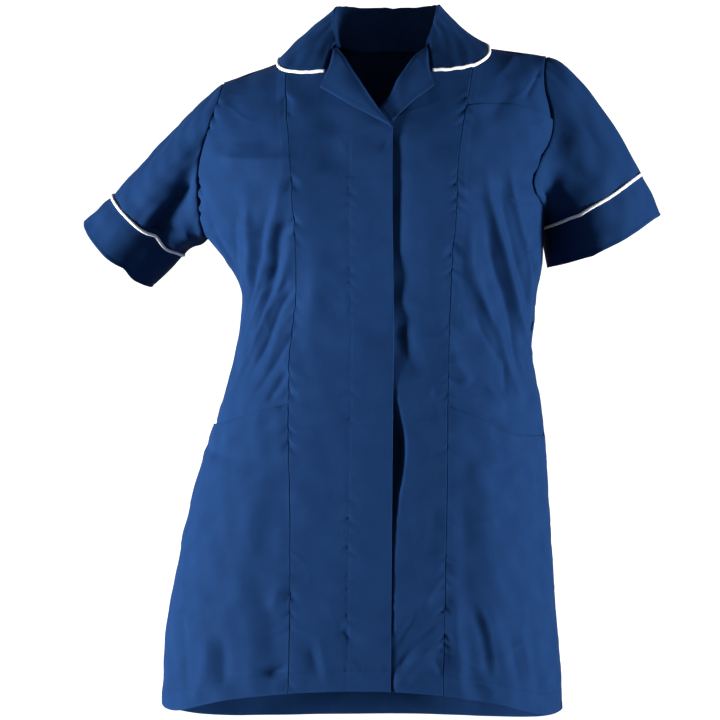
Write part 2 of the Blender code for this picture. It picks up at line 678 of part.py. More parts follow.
def sleeve_angles(ring):
    """Angle of each column at the sleeve's end, by its share of the armhole's length."""
    steps = np.linalg.norm(np.diff(np.vstack([ring, ring[:1]]), axis=0), axis=1)
    run = np.concatenate([[0.0], np.cumsum(steps)[:-1]])
    top = len(CHEST_SHARES) + len(SHOULDER_SHARES)
    front = run[:top + 1] / run[top] * math.pi
    back = math.pi + (run[top + 1:] - run[top]) / (steps.sum() - run[top]) * math.pi
    return np.concatenate([front, back])


def sleeve_points(side_name, along, ring, angles):
    """Points of the sleeve at the shares along it, 0 = armhole, 1 = cuff seam."""
    facts = SLEEVES[side_name]
    axis, cap = unit(facts["axis"]), unit(facts["cap"])
    end = end_ring(facts["seam"], angles)
    length = np.linalg.norm(end - ring, axis=1)[:, None]
    high = ((1 - np.cos(angles)) / 2)[:, None]
    start = unit(axis * (1 - high) + cap * high) * (1 - CAP_TIGHTNESS * high)
    t = np.asarray(along)[:, None, None]
    points = ((1 + 2 * t) * (1 - t) ** 2 * ring + t * (1 - t) ** 2 * length * start
              + t * t * (3 - 2 * t) * end + t * t * (t - 1) * length * axis)
    return points


def ring_normals(points):
    """Outward directions of a tube of rings."""
    round_way = np.roll(points, -1, axis=1) - np.roll(points, 1, axis=1)
    along = np.gradient(points, axis=0)
    out = unit(np.cross(along, round_way))
    centre = points.mean(axis=1, keepdims=True)
    flip = np.sign(((points - centre) * out).sum(axis=-1).mean())
    return out * flip


def sleeve_folds(side_name, along, angles):
    """Depth of the sleeve's folds; they grow out of the armhole and run into the cuff."""
    total = np.zeros((len(along), len(angles)))
    degrees = np.degrees(angles)[None, :]
    t = np.asarray(along)[:, None]
    for start, end, first, last, half, depth in SLEEVE_FOLDS[side_name]:
        middle = start + (end - start) * t
        aside = (degrees - middle + 180.0) % 360.0 - 180.0
        total += depth * np.exp(-((aside / half) ** 2)) * ease((t - first) / 0.3) * ease((last - t) / 0.25)
    return total


def add_sleeve(side_name, navy, white):
    facts = SLEEVES[side_name]
    side = 1 if side_name == "left" else -1
    ring = armhole_ring(side)
    angles = sleeve_angles(ring)
    along = np.linspace(0.0, 1.0, SLEEVE_ROWS + 1)
    axis = unit(facts["axis"])
    points = sleeve_points(side_name, along, ring, angles)
    out = ring_normals(points)
    points = points + out * sleeve_folds(side_name, along, angles)[..., None]
    out = ring_normals(points)
    points[0] += 3 * SEAM_GAP * unit(points[1] - points[0])
    order = slice(None, None, -1) if side > 0 else slice(None)
    wall("sleeve_" + side_name, points[:, order], points[:, order] - out[:, order] * CLOTH, navy, True)

    seam = points[-1] + axis * 3 * SEAM_GAP
    hem = end_ring(facts["hem"], angles)
    fold = sleeve_folds(side_name, np.array([1.0]), angles)[0][:, None]
    share = np.linspace(0.0, 1.0, CUFF_ROWS + 1)[:, None, None]
    band = seam + (hem + out[-1] * fold * 0.8 - seam) * share
    outward = ring_normals(band)
    band = band + outward * CUFF_STAND * ease(share * 3)
    wall("cuff_" + side_name, band[:, order], band[:, order] - outward[:, order] * CLOTH, navy, True)
    cord = points[-1] + out[-1] * (PIPING_RADIUS + 3.5 * SEAM_GAP) + axis * SEAM_GAP / 2
    piping("cuff_piping_" + side_name, cord, True, white)


# Collar and lapels

def lapel_outline(side_name, along):
    table = LAPEL[side_name]
    rows = np.array(table)
    return np.interp(along, rows[:, 0], rows[:, 1]), np.interp(along, rows[:, 0], rows[:, 2])


def add_lapel(side_name, navy):
    """A lapel turned back over the front along the break line."""
    side = -1 if side_name == "right" else 1
    along = np.array(LAPEL_STATIONS)
    low, high = LAPEL_BREAK[side_name]
    break_level = low + (high - low) * along
    break_x = -side * neck_edge(side, break_level)
    break_height = form(angle_at(break_x, break_level), break_level)[..., 2]
    edge_x, edge_height = lapel_outline(side_name, along)
    across = np.linspace(0.0, 1.0, LAPEL_COLUMNS)[None, :]
    x = break_x[:, None] + (edge_x - break_x)[:, None] * across
    height = break_height[:, None] + (edge_height - break_height)[:, None] * across
    level = level_at(x, height)
    angle = angle_at(x, level)
    at_break, mid_way, at_edge = LAPEL_RISE
    raised = at_break + (at_edge - at_break) * across + mid_way * np.sin(np.pi * across)
    if side > 0:
        raised = raised * (0.25 + 0.75 * ease(along / 0.25))[:, None]
    raised = raised * np.ones_like(x)
    outer, inner = cloth_walls(angle, level, raised)
    order = slice(None, None, -1) if side_name == "right" else slice(None)
    wall("lapel_" + side_name, outer[:, order], inner[:, order], navy)


def stand_points():
    """The collar's neckline, front end to centre back, just inside the body's neckline."""
    front_levels = np.array(STAND_LEVELS)
    x = -neck_edge(1, front_levels)
    front = shape(angle_at(x, front_levels), front_levels)
    turn = np.radians(STAND_ANGLES)
    x, y = NECK_HALF * np.cos(turn), NECK_BACK * np.sin(turn)
    back = np.stack([x, y, height_over(x, y)], axis=-1)
    points = np.concatenate([front, back])
    inward = -unit(points * (1.0, 1.0, 0.0))
    return points + inward * STAND_SETBACK + np.array([0.0, 0.0, -0.0015])


def collar_section(stand, roll, edge, out, bow):
    """Points across the collar at one station: up the stand, over the roll and down the leaf."""
    rise = np.linalg.norm(roll - stand)
    radius = min(0.0032, 0.35 * rise)
    up = np.array([0.0, 0.0, 1.0])
    top = roll + up * 0.0008
    before = roll - out * radius * 0.8 - up * radius
    after = roll + out * radius - up * radius * 0.7
    middle = stand + (before - stand) * 0.5 - out * 0.001
    leaf = edge - after
    belly = unit(out * 0.7 + up) * bow
    return [stand, middle, before, top, after,
            after + leaf * 0.33 + belly, after + leaf * 0.67 + belly, edge]


def over_body(x, y, clearance):
    """A point this far off the body over a place in plan, and the body's outward direction there."""
    level = level_at(x, height_over(x, y), back=y > 0)
    angle = angle_at(x, level, back=y > 0)
    out = normals(angle, level)
    return shape(angle, level) + out * clearance, out


def collar_grid():
    """The collar's outer points, from the wearer's right end round the back to the left end."""
    stand = stand_points()
    sections, outward = [], []
    for side in (-1, 1):
        flip = np.array([side, 1.0, 1.0])
        half, half_out = [], []
        for row, foot in zip(COLLAR, stand):
            roll = np.array(row[:3]) * flip
            edge_x, edge_y = row[3 if side < 0 else 4] * side, row[5]
            edge, out = over_body(edge_x, edge_y, CLOTH + COLLAR_CLEARANCE)
            aside = unit(np.array([roll[0], roll[1], 0.0]))
            half.append(collar_section(foot * flip, roll, edge, aside, COLLAR_BELLY[name_of(side)]))
            half_out.append(out)
        sections.append(half)
        outward.append(half_out)
    return np.array(sections[0] + sections[1][-2::-1]), np.array(outward[0] + outward[1][-2::-1])


def grid_normals(points):
    along = np.gradient(points, axis=0)
    across = np.gradient(points, axis=1)
    return unit(np.cross(along, across))


def add_collar(navy, white):
    """The collar, and the piping round its free edge, which keeps clear of the body."""
    points, body_out = collar_grid()
    out = grid_normals(points)
    out = out * np.sign(out[:, -2, 2].mean())
    wall("collar", points[::-1], (points - out * CLOTH)[::-1], navy)
    edge = points[:, -1]
    away = unit(edge - points[:, -2])
    away = unit(away - body_out * (away * body_out).sum(axis=-1, keepdims=True))
    cord = edge - body_out * CLOTH / 2 + away * (PIPING_RADIUS + 2 * SEAM_GAP)
    piping("collar_piping", cord, False, white)


def main():
    global collection
    for old in list(bpy.data.objects):
        bpy.data.objects.remove(old)
    collection = bpy.data.collections.new("medical_tunic")
    bpy.context.scene.collection.children.link(collection)
    navy = material("navy_polycotton", NAVY, 0.75)
    white = material("white_piping", WHITE, 0.6)
    for side in (-1, 1):
        add_front(side, navy)
        add_side_front(side, navy)
    add_back(navy)
    for side_name in SLEEVES:
        add_sleeve(side_name, navy, white)
        add_lapel(side_name, navy)
    add_collar(navy, white)


main()
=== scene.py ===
# The looks of a medical tunic in its worn form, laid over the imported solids.
# Metres; +X is the wearer's left, -Y the front, +Z up, and the origin is midway between the neck points.
import math

import bpy
import numpy as np
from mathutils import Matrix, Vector


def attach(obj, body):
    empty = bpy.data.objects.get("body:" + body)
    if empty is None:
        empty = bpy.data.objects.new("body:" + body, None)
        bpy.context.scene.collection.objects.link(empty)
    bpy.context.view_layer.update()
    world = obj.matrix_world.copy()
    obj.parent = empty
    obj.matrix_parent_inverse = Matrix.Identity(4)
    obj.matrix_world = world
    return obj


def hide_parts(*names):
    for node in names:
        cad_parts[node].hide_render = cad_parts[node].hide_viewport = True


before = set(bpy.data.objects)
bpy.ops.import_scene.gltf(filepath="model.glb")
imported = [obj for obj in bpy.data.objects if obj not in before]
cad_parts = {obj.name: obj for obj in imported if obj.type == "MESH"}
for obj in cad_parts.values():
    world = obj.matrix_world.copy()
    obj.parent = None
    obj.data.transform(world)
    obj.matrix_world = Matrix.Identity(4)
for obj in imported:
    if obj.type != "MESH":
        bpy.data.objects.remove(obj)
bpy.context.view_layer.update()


# The back: one wide panel of navy polycotton from side seam to side seam, with two waist darts,
# a turned hem, and vents where the side seams stop short. It hangs from the shoulder seams, so
# the worn form that every other panel lies on is set out here with it.

# height, half width to the wearer's right, to the left, depth to the front, to the back
SECTIONS = (
    (-0.765, 0.2460, 0.1920, 0.1430, 0.1320),
    (-0.700, 0.2465, 0.1915, 0.1420, 0.1300),
    (-0.640, 0.2420, 0.1865, 0.1390, 0.1270),
    (-0.580, 0.2310, 0.1825, 0.1350, 0.1230),
    (-0.520, 0.2190, 0.1785, 0.1310, 0.1190),
    (-0.460, 0.2020, 0.1750, 0.1265, 0.1130),
    (-0.400, 0.1830, 0.1700, 0.1205, 0.1020),
    (-0.350, 0.1690, 0.1605, 0.1150, 0.0880),
    (-0.310, 0.1620, 0.1600, 0.1135, 0.0840),
    (-0.270, 0.1620, 0.1660, 0.1165, 0.0880),
    (-0.240, 0.1780, 0.1710, 0.1200, 0.0930),
    (-0.210, 0.2020, 0.1720, 0.1235, 0.0975),
    (-0.180, 0.2160, 0.1770, 0.1255, 0.1000),
    (-0.150, 0.2220, 0.1950, 0.1260, 0.1010),
)
SQUARENESS = 2.25
CHEST = -0.150
RISE = 0.185
ROLL_UP = 2.2
ROLL_IN_FRONT = 1.6
ROLL_IN_BACK = 2.4
NECK_HALF = 0.058
NECK_BACK = 0.0605
NECK_RISE_FRONT = 0.035
NECK_RISE_BACK = 0.022
SHOULDER_DROP_RIGHT = 0.346
SHOULDER_DROP_LEFT = 0.158
SHOULDER_SOFTNESS = 0.012
UNDERARM = {"right": -0.065, "left": -0.035}
UNDERARM_CURVE = 0.0065
# level, distance of the armhole from the centre on the front, on the back
ARMHOLES = {
    "right": (
        (-0.0604, 0.1992, 0.1992),
        (-0.0520, 0.1995, 0.1993),
        (-0.0400, 0.2000, 0.1990),
        (-0.0120, 0.2000, 0.1970),
        (0.0100, 0.1985, 0.1940),
        (0.0300, 0.1945, 0.1900),
        (0.0550, 0.1880, 0.1855),
        (0.0950, 0.1800, 0.1815),
        (0.1400, 0.1795, 0.1810),
        (0.1850, 0.1818, 0.1818),
    ),
    "left": (
        (-0.0307, 0.1735, 0.1738),
        (-0.0230, 0.1690, 0.1705),
        (-0.0120, 0.1645, 0.1690),
        (0.0080, 0.1715, 0.1700),
        (0.0280, 0.1815, 0.1720),
        (0.0520, 0.1840, 0.1740),
        (0.0900, 0.1765, 0.1745),
        (0.1400, 0.1745, 0.1748),
        (0.1850, 0.1750, 0.1750),
    ),
}
# angle round the garment, height of the hem
BACK_HEM = (
    (0.0, -0.7300), (30.0, -0.7480), (90.0, -0.7560), (150.0, -0.7520), (180.0, -0.7350),
)
VENT_TOP = -0.620
VENT_GAP = 0.006
METRES_PER_DEGREE = 0.0026
HALF_SEAM_DEGREES = 0.00005 / METRES_PER_DEGREE
# x at the waist, top, bottom, depth of the pulled-in line
BACK_DARTS = ((-0.078, -0.200, -0.460, 0.0045), (0.074, -0.200, -0.460, 0.0045))
# half width, depth, crispness (2 is soft, 1.3 crisp), then points x, height along the fold
BACK_FOLDS = (
    (0.0120, -0.0091, 1.7, (-0.178, -0.205), (-0.152, -0.262), (-0.120, -0.310)),
    (0.0130, 0.0065, 1.8, (-0.160, -0.160), (-0.128, -0.232), (-0.090, -0.290)),
    (0.0120, -0.0091, 1.7, (0.150, -0.200), (0.128, -0.266), (0.100, -0.320)),
    (0.0120, 0.0065, 1.8, (0.136, -0.160), (0.110, -0.236), (0.078, -0.300)),
    (0.0110, 0.0072, 1.8, (-0.130, -0.300), (-0.090, -0.316), (-0.052, -0.325)),
    (0.0090, -0.0059, 1.6, (-0.120, -0.345), (-0.080, -0.356), (-0.040, -0.352)),
    (0.0110, 0.0072, 1.8, (0.128, -0.312), (0.084, -0.326), (0.040, -0.330)),
    (0.0090, -0.0059, 1.6, (0.120, -0.355), (0.084, -0.360), (0.046, -0.348)),
    (0.0190, 0.0104, 2.0, (-0.075, -0.440), (-0.104, -0.590), (-0.120, -0.730)),
    (0.0170, -0.0104, 1.8, (-0.120, -0.470), (-0.158, -0.600), (-0.180, -0.735)),
    (0.0170, -0.0091, 1.8, (-0.030, -0.480), (-0.046, -0.610), (-0.050, -0.745)),
    (0.0190, 0.0091, 2.0, (0.030, -0.500), (0.020, -0.620), (0.022, -0.745)),
    (0.0170, -0.0104, 1.8, (0.072, -0.470), (0.090, -0.610), (0.092, -0.745)),
    (0.0170, 0.0091, 2.0, (0.120, -0.460), (0.140, -0.590), (0.150, -0.735)),
    (0.0060, -0.0022, 1.5, (-0.150, -0.110), (-0.120, -0.150), (-0.104, -0.196)),
    (0.0060, -0.0020, 1.5, (0.140, -0.096), (0.118, -0.134), (0.100, -0.170)),
    (0.0065, 0.0024, 1.6, (-0.030, -0.250), (0.004, -0.262), (0.036, -0.256)),
    (0.0060, -0.0024, 1.5, (-0.050, -0.290), (-0.006, -0.300), (0.046, -0.284)),
    (0.0055, -0.0020, 1.5, (-0.028, -0.380), (0.010, -0.386), (0.034, -0.378)),
    (0.0060, -0.0022, 1.5, (0.100, -0.420), (0.126, -0.452), (0.140, -0.500)),
    (0.0065, -0.0024, 1.5, (-0.086, -0.400), (-0.132, -0.430), (-0.160, -0.470)),
)
CLOTH = 0.0010
LAYER = 0.0015
TURN_IN = 0.0016
SEAM_ROUNDING = 0.0009
HEM_WIDTH = 0.024
STITCH_INSET = 0.0016
STEP = 0.0034
SHARP_DEGREES = 55.0
EDGE_STEPS = (0.0, 0.0003, 0.0007, 0.0012, 0.0020, 0.0034)


def blend(table, column, at):
    """The table's column at the given places, on a smooth curve through its rows."""
    rows = np.array(table, float)
    places, values = rows[:, 0], rows[:, column]
    slopes = np.gradient(values, places)
    at = np.clip(at, places[0], places[-1])
    low = np.clip(np.searchsorted(places, at, side="right") - 1, 0, len(places) - 2)
    span = places[low + 1] - places[low]
    t = (at - places[low]) / span
    return ((1 + 2 * t) * (1 - t) ** 2 * values[low] + t * (1 - t) ** 2 * span * slopes[low]
            + t * t * (3 - 2 * t) * values[low + 1] + t * t * (t - 1) * span * slopes[low + 1])


def ease(value):
    """0 below 0, 1 above 1, smooth between."""
    t = np.clip(value, 0.0, 1.0)
    return t * t * (3 - 2 * t)


def bell(away, width):
    """1 at 0, falling away softly within the width."""
    return np.exp(-(away / width) ** 2)


def unit(vectors):
    vectors = np.asarray(vectors, float)
    return vectors / np.maximum(np.linalg.norm(vectors, axis=-1, keepdims=True), 1e-12)


def power(value, exponent):
    return np.sign(value) * np.abs(value) ** exponent


def half_width(x_sign, height):
    return np.where(x_sign >= 0, blend(SECTIONS, 2, height), blend(SECTIONS, 1, height))


def shoulder_height(x, back):
    """Height of the shoulder seam over x."""
    past = np.abs(x) - NECK_HALF
    soft = (np.sqrt(past ** 2 + SHOULDER_SOFTNESS ** 2) + past) / 2
    drop = np.where(x >= 0, SHOULDER_DROP_LEFT, SHOULDER_DROP_RIGHT)
    inside = np.clip(1 - (x / NECK_HALF) ** 2, 0, 1)
    rise = np.where(back, NECK_RISE_BACK, NECK_RISE_FRONT)
    return rise * inside ** 2 - drop * (soft - SHOULDER_SOFTNESS * 0.1)


def form(angle, level):
    """Point of the smooth worn form: -90 degrees is the centre front, 0 the wearer's left side."""
    angle, level = np.broadcast_arrays(np.asarray(angle, float), np.asarray(level, float))
    turn = np.radians(angle)
    height = CHEST + np.minimum(level, 0.0)
    x = half_width(np.cos(turn), height) * power(np.cos(turn), 2 / SQUARENESS)
    depth = np.where(np.sin(turn) >= 0, blend(SECTIONS, 4, height), blend(SECTIONS, 3, height))
    y = depth * power(np.sin(turn), 2 / SQUARENESS)
    over = np.clip(level / RISE, 0.0, 1.0) * math.pi / 2
    up = np.sin(over) ** (2 / ROLL_UP)
    height = height + (shoulder_height(x, np.sin(turn) > 0) - CHEST) * up
    roll_in = np.where(np.sin(turn) >= 0, ROLL_IN_BACK, ROLL_IN_FRONT)
    y = y * np.maximum(np.cos(over), 0.0) ** (2 / roll_in)
    return np.stack([x, y, height], axis=-1)


def form_out(angle, level):
    """Outward direction of the worn form."""
    step_a, step_l = 0.4, 0.0015
    along = form(angle + step_a, level) - form(angle - step_a, level)
    up = form(angle, np.minimum(level + step_l, RISE)) - form(angle, level - step_l)
    return unit(np.cross(along, up))


def angle_at(x, level, back=False):
    """Angle of the form at this x and level."""
    x = np.asarray(x, float)
    share = np.clip(np.abs(x) / half_width(x, CHEST + np.minimum(level, 0.0)), 0.0, 1.0)
    turn = np.degrees(np.arccos(share ** (SQUARENESS / 2)))
    turn = np.where(x >= 0, turn, 180.0 - turn)
    return turn if back else -turn


def level_at(x, height, back=False):
    """Level on the form at this x and height: metres up the cloth from the chest line."""
    up = np.clip((height - CHEST) / (shoulder_height(x, back) - CHEST), 0.0, 1.0)
    over = np.arcsin(up ** (ROLL_UP / 2))
    return np.where(height < CHEST, height - CHEST, over * 2 / math.pi * RISE)


def height_over(x, y):
    """Height of the form's upper part over a point in plan."""
    x = np.asarray(x, float)
    across = (1 - (np.abs(x) / half_width(x, CHEST)) ** SQUARENESS) ** (1 / SQUARENESS)
    depth = np.where(y >= 0, SECTIONS[-1][4], SECTIONS[-1][3]) * across
    share = np.clip(np.abs(y) / depth, 0.0, 1.0)
    roll_in = np.where(y >= 0, ROLL_IN_BACK, ROLL_IN_FRONT)
    return CHEST + (shoulder_height(x, y >= 0) - CHEST) * (1 - share ** roll_in) ** (1 / ROLL_UP)


def smooth_line(points, count):
    """Evenly counted places on a smooth curve through the points."""
    points = np.array(points, float)
    places = np.arange(len(points), dtype=float)
    table = np.column_stack([places, points])
    at = np.linspace(0, len(points) - 1, count)
    return np.stack([blend(table, k + 1, at) for k in range(points.shape[1])], axis=-1)


def fold_depth(angle, height, folds, back):
    """Sum of the troughs and ridges, each laid along its own curved line and fading at both ends."""
    total = np.zeros(np.broadcast(angle, height).shape)
    here = np.stack(np.broadcast_arrays(angle * METRES_PER_DEGREE, height), axis=-1)
    for half, depth, crispness, *points in folds:
        xs, zs = np.array(points).T
        line = np.column_stack([angle_at(xs, level_at(xs, zs, back), back) * METRES_PER_DEGREE, zs])
        line = smooth_line(line, 6 * len(points))
        runs = np.diff(line, axis=0)
        lengths = np.linalg.norm(runs, axis=1)
        whole = lengths.sum()
        reach = 4 * half + 0.12 * whole
        near = ((here > line.min(axis=0) - reach) & (here < line.max(axis=0) + reach)).all(axis=-1)
        spots = here[near]
        if not len(spots):
            continue
        best = np.full(len(spots), 1e9)
        at_best = np.zeros(len(spots))
        done = 0.0
        for k, (start, run, length) in enumerate(zip(line, runs, lengths)):
            low = -9.0 if k == 0 else 0.0
            high = 9.0 if k == len(runs) - 1 else 1.0
            share = np.clip(((spots - start) @ run) / length ** 2, low, high)
            away = np.linalg.norm(spots - start - share[:, None] * run, axis=1)
            closer = away < best
            best = np.where(closer, away, best)
            at_best = np.where(closer, (done + share * length) / whole, at_best)
            done += length
        fade = ease((at_best + 0.12) / 0.35) * ease((1.12 - at_best) / 0.35)
        total[near] += depth * np.exp(-(best / half) ** crispness) * fade
    return total


def rumple(across, up, seed, size, count=16):
    """A gentle irregular relief with mean height 1: waves of fixed directions and lengths added up."""
    pick = np.random.default_rng(seed)
    turns = pick.uniform(0, math.pi, count)
    lengths = size * pick.uniform(0.6, 1.7, count)
    starts = pick.uniform(0, 2 * math.pi, count)
    total = 0.0
    for turn, length, start in zip(turns, lengths, starts):
        total = total + np.cos(2 * math.pi * (across * math.cos(turn) + up * math.sin(turn)) / length + start)
    return total / math.sqrt(count / 2)


def pucker(away, along, seed, width=0.006):
    """Small uneven gathers where stitching draws the cloth in, away metres from the stitches."""
    slanted = along + 0.6 * np.abs(away)
    waves = rumple(slanted, 0 * along, seed, 0.0125, 10)
    drawn = -np.tanh(1.6 * np.clip(-waves - 0.3, 0.0, 3.0)) + 0.2 * waves
    uneven = np.clip(0.7 + 0.6 * rumple(along, 0 * along, seed + 50, 0.09, 6), 0.1, 1.6)
    return drawn * uneven * bell(away, width)


def creases(across, up, seed, size):
    """Fine sharp creases: thin curved ridges of height 1 that come and go."""
    line = rumple(across, up, seed, size)
    strong = np.clip(rumple(across, up, seed + 7, 1.5 * size), 0.0, 1.3)
    return strong * np.exp(-np.abs(line / 0.20) ** 1.3)


def vent(level):
    """How far the side edges stand apart, in degrees, below the top of the vent."""
    below = ease((VENT_TOP - CHEST - level) / 0.11)
    return below * VENT_GAP / METRES_PER_DEGREE


def name_of(side):
    return "right" if side < 0 else "left"


def side_edge(side, back):
    """Angle of a panel's outer edge at each level: side seam, then armhole."""
    table = ARMHOLES[name_of(side)]
    straight = 0.0 if side > 0 else (180.0 if back else -180.0)
    towards = (1 if back else -1) * side

    def edge(level):
        level = np.asarray(level, float)
        gap = HALF_SEAM_DEGREES + vent(level)
        widest = half_width(side, CHEST + np.minimum(level, 0.0))
        x = np.minimum(blend(table, 2 if back else 1, level), widest)
        seam = straight + towards * gap
        up = np.clip((level - UNDERARM[name_of(side)]) / UNDERARM_CURVE, 0.0, 1.0)
        return seam + (angle_at(side * x, level, back) - seam) * up ** 0.6
    return edge


def shares_for(length, step=None, first_tight=True, last_tight=True):
    """Shares from 0 to 1 along a stretch of cloth, close together where an edge turns in."""
    step = step or STEP
    start = np.array(EDGE_STEPS) if first_tight else np.array([0.0])
    end = length - np.array(EDGE_STEPS)[::-1] if last_tight else np.array([length])
    count = max(2, int(round((end[0] - start[-1]) / step)) + 1)
    return np.concatenate([start[:-1], np.linspace(start[-1], end[0], count), end[1:]]) / length


def rows_through(*stops, step=None):
    """Levels of the rows of a panel, column by column, with a row exactly at each stop."""
    stops = [np.asarray(stop, float) for stop in np.broadcast_arrays(*stops)]
    rows = [stops[0][None]]
    for k, (low, high) in enumerate(zip(stops, stops[1:])):
        shares = shares_for(float(np.mean(high - low)), step, k == 0, k == len(stops) - 2)
        rows.append(low + (high - low) * shares[1:, None])
    return np.concatenate(rows)


def distance_in(points, axis, from_end=False):
    """Distance along the cloth from the grid's first or last row or column."""
    steps = np.linalg.norm(np.diff(points, axis=axis), axis=-1)
    nothing = np.zeros_like(np.take(steps, [0], axis=axis))
    run = np.concatenate([nothing, np.cumsum(steps, axis=axis)], axis=axis)
    return np.take(run, [-1], axis=axis) - run if from_end else run


def edge_distances(points):
    """Distances from a grid's first column, last column, first row and last row."""
    return (distance_in(points, 1), distance_in(points, 1, True),
            distance_in(points, 0), distance_in(points, 0, True))


def across_panel(first, last, level, shares):
    """Angles of a panel's points between its two edges."""
    return first(level) + (last(level) - first(level)) * shares


def rounded(away, radius=SEAM_ROUNDING):
    """How far an edge's surface falls away, as on a folded and pressed edge."""
    inside = np.clip(1 - away / radius, 0.0, 1.0)
    return -radius * (1 - np.sqrt(1 - inside ** 2)) * 0.85


def grid_out(points, outward, round_about=False):
    """Outward direction of a grid's surface, turned to agree with the direction given."""
    if round_about:
        wide = np.concatenate([points[:, -2:], points, points[:, :2]], axis=1)
        out = np.cross(np.gradient(wide, axis=1), np.gradient(wide, axis=0))[:, 2:-2]
    else:
        out = np.cross(np.gradient(points, axis=1), np.gradient(points, axis=0))
    out = unit(out)
    return out * np.where((out * outward).sum(axis=-1, keepdims=True) < 0, -1.0, 1.0)


def bordered(grid, round_about=False):
    """The grid with its border rows and columns doubled."""
    sides = (0, 0) if round_about else (1, 1)
    return np.pad(grid, ((1, 1), sides) + ((0, 0),) * (grid.ndim - 2), mode="edge")


def made_of(name, spots, faces, material, plan=None):
    """A smooth object from its points and faces; plan places each face's corners on the flat cloth."""
    mesh = bpy.data.meshes.new(name)
    mesh.from_pydata(spots, [], faces)
    if plan is not None:
        weave = mesh.uv_layers.new(name="weave")
        weave.data.foreach_set("uv", plan)
    mesh.shade_smooth()
    mesh.materials.append(material)
    made = bpy.data.objects.new(name, mesh)
    bpy.context.scene.collection.objects.link(made)
    return made


def shell(name, points, out, cloth, wear=None, round_about=False, thickness=CLOTH):
    """A piece of cloth as a closed thin shell: its face, its turned-in edges and its inner face."""
    wear = np.zeros(points.shape[:2]) if wear is None else wear
    face, outward, worn = (bordered(g, round_about) for g in (points, out, wear))
    turned = np.ones(face.shape[:2])
    turned[1:-1, (slice(None) if round_about else slice(1, -1))] = 0.0
    inner = face - outward * (thickness + turned * (TURN_IN - thickness * 0.2))[..., None]
    face = face - outward * (turned * TURN_IN)[..., None]
    rows, columns = face.shape[:2]
    corner = np.arange(rows * columns).reshape(rows, columns)
    if round_about:
        corner = np.concatenate([corner, corner[:, :1]], axis=1)
    wide = corner.shape[1]
    place = np.arange(rows * wide).reshape(rows, wide)
    far = rows * wide

    def fours(a, b, c, d):
        return np.stack([a, b, c, d], axis=-1).reshape(-1, 4)

    faces = [
        fours(place[:-1, :-1], place[:-1, 1:], place[1:, 1:], place[1:, :-1]),
        fours(place[1:, :-1], place[1:, 1:], place[:-1, 1:], place[:-1, :-1]) + far,
        fours(place[0, 1:], place[0, :-1], place[0, :-1] + far, place[0, 1:] + far),
        fours(place[-1, :-1], place[-1, 1:], place[-1, 1:] + far, place[-1, :-1] + far),
    ]
    if not round_about:
        faces.append(fours(place[:-1, 0], place[1:, 0], place[1:, 0] + far, place[:-1, 0] + far))
        faces.append(fours(place[1:, -1], place[:-1, -1], place[:-1, -1] + far, place[1:, -1] + far))
    faces = np.concatenate(faces)
    vertex = np.concatenate([corner.ravel(), corner.ravel() + rows * columns])
    spots = np.concatenate([face.reshape(-1, 3), inner.reshape(-1, 3)])
    a, b, c, d = (spots[vertex[faces[:, k]]] for k in range(4))
    volume = (a * np.cross(b, c)).sum() + (a * np.cross(c, d)).sum()
    if volume < 0:
        faces = faces[:, ::-1]
    closed = np.concatenate([face, face[:, :1]], axis=1) if round_about else face
    across = distance_in(closed, 1)
    across = across - across[:, [wide // 2]]
    up = distance_in(closed, 0)
    plan = np.stack([across, np.broadcast_to(up.mean(axis=1, keepdims=True), across.shape)], axis=-1)
    plan = np.concatenate([plan.reshape(-1, 2)] * 2)
    made = made_of(name, spots.tolist(), vertex[faces].tolist(), cloth, plan[faces].ravel())
    shade = made.data.attributes.new("wear", "FLOAT", "POINT")
    shade.data.foreach_set("value", np.concatenate([worn.ravel()] * 2))
    made.data.set_sharp_from_angle(angle=math.radians(SHARP_DEGREES))
    return made


def to_linear(hex_colour):
    """The sRGB hex colour as linear red, green, blue and full alpha."""
    values = [int(hex_colour[k:k + 2], 16) / 255 for k in (1, 3, 5)]
    return [v / 12.92 if v <= 0.04045 else ((v + 0.055) / 1.055) ** 2.4 for v in values] + [1.0]


def add_node(tree, kind, inputs=(), **settings):
    """A node with its settings; inputs are (socket, value or another node's output)."""
    made = tree.nodes.new(kind)
    for key, value in settings.items():
        setattr(made, key, value)
    for socket, value in inputs:
        if isinstance(value, bpy.types.NodeSocket):
            tree.links.new(value, made.inputs[socket])
        else:
            made.inputs[socket].default_value = value
    return made


def new_material(name):
    """An empty material, with its node tree and its principled shader."""
    made = bpy.data.materials.new(name)
    made.use_nodes = True
    return made, made.node_tree, made.node_tree.nodes["Principled BSDF"]


# Woven polycotton, piece dyed navy: plain weave of 0.35 mm threads, drawn at 0.9 mm so that it can
# show. Matt, with a soft pale sheen from its fibre ends, slubs along the warp, uneven dye, and
# edges rubbed a little paler where they are folded and pressed.
NAVY_DEEP = "#122a50"
NAVY_FADED = "#163158"
NAVY_WORN = "#1f3c68"
THREAD_SPACING = 0.0009


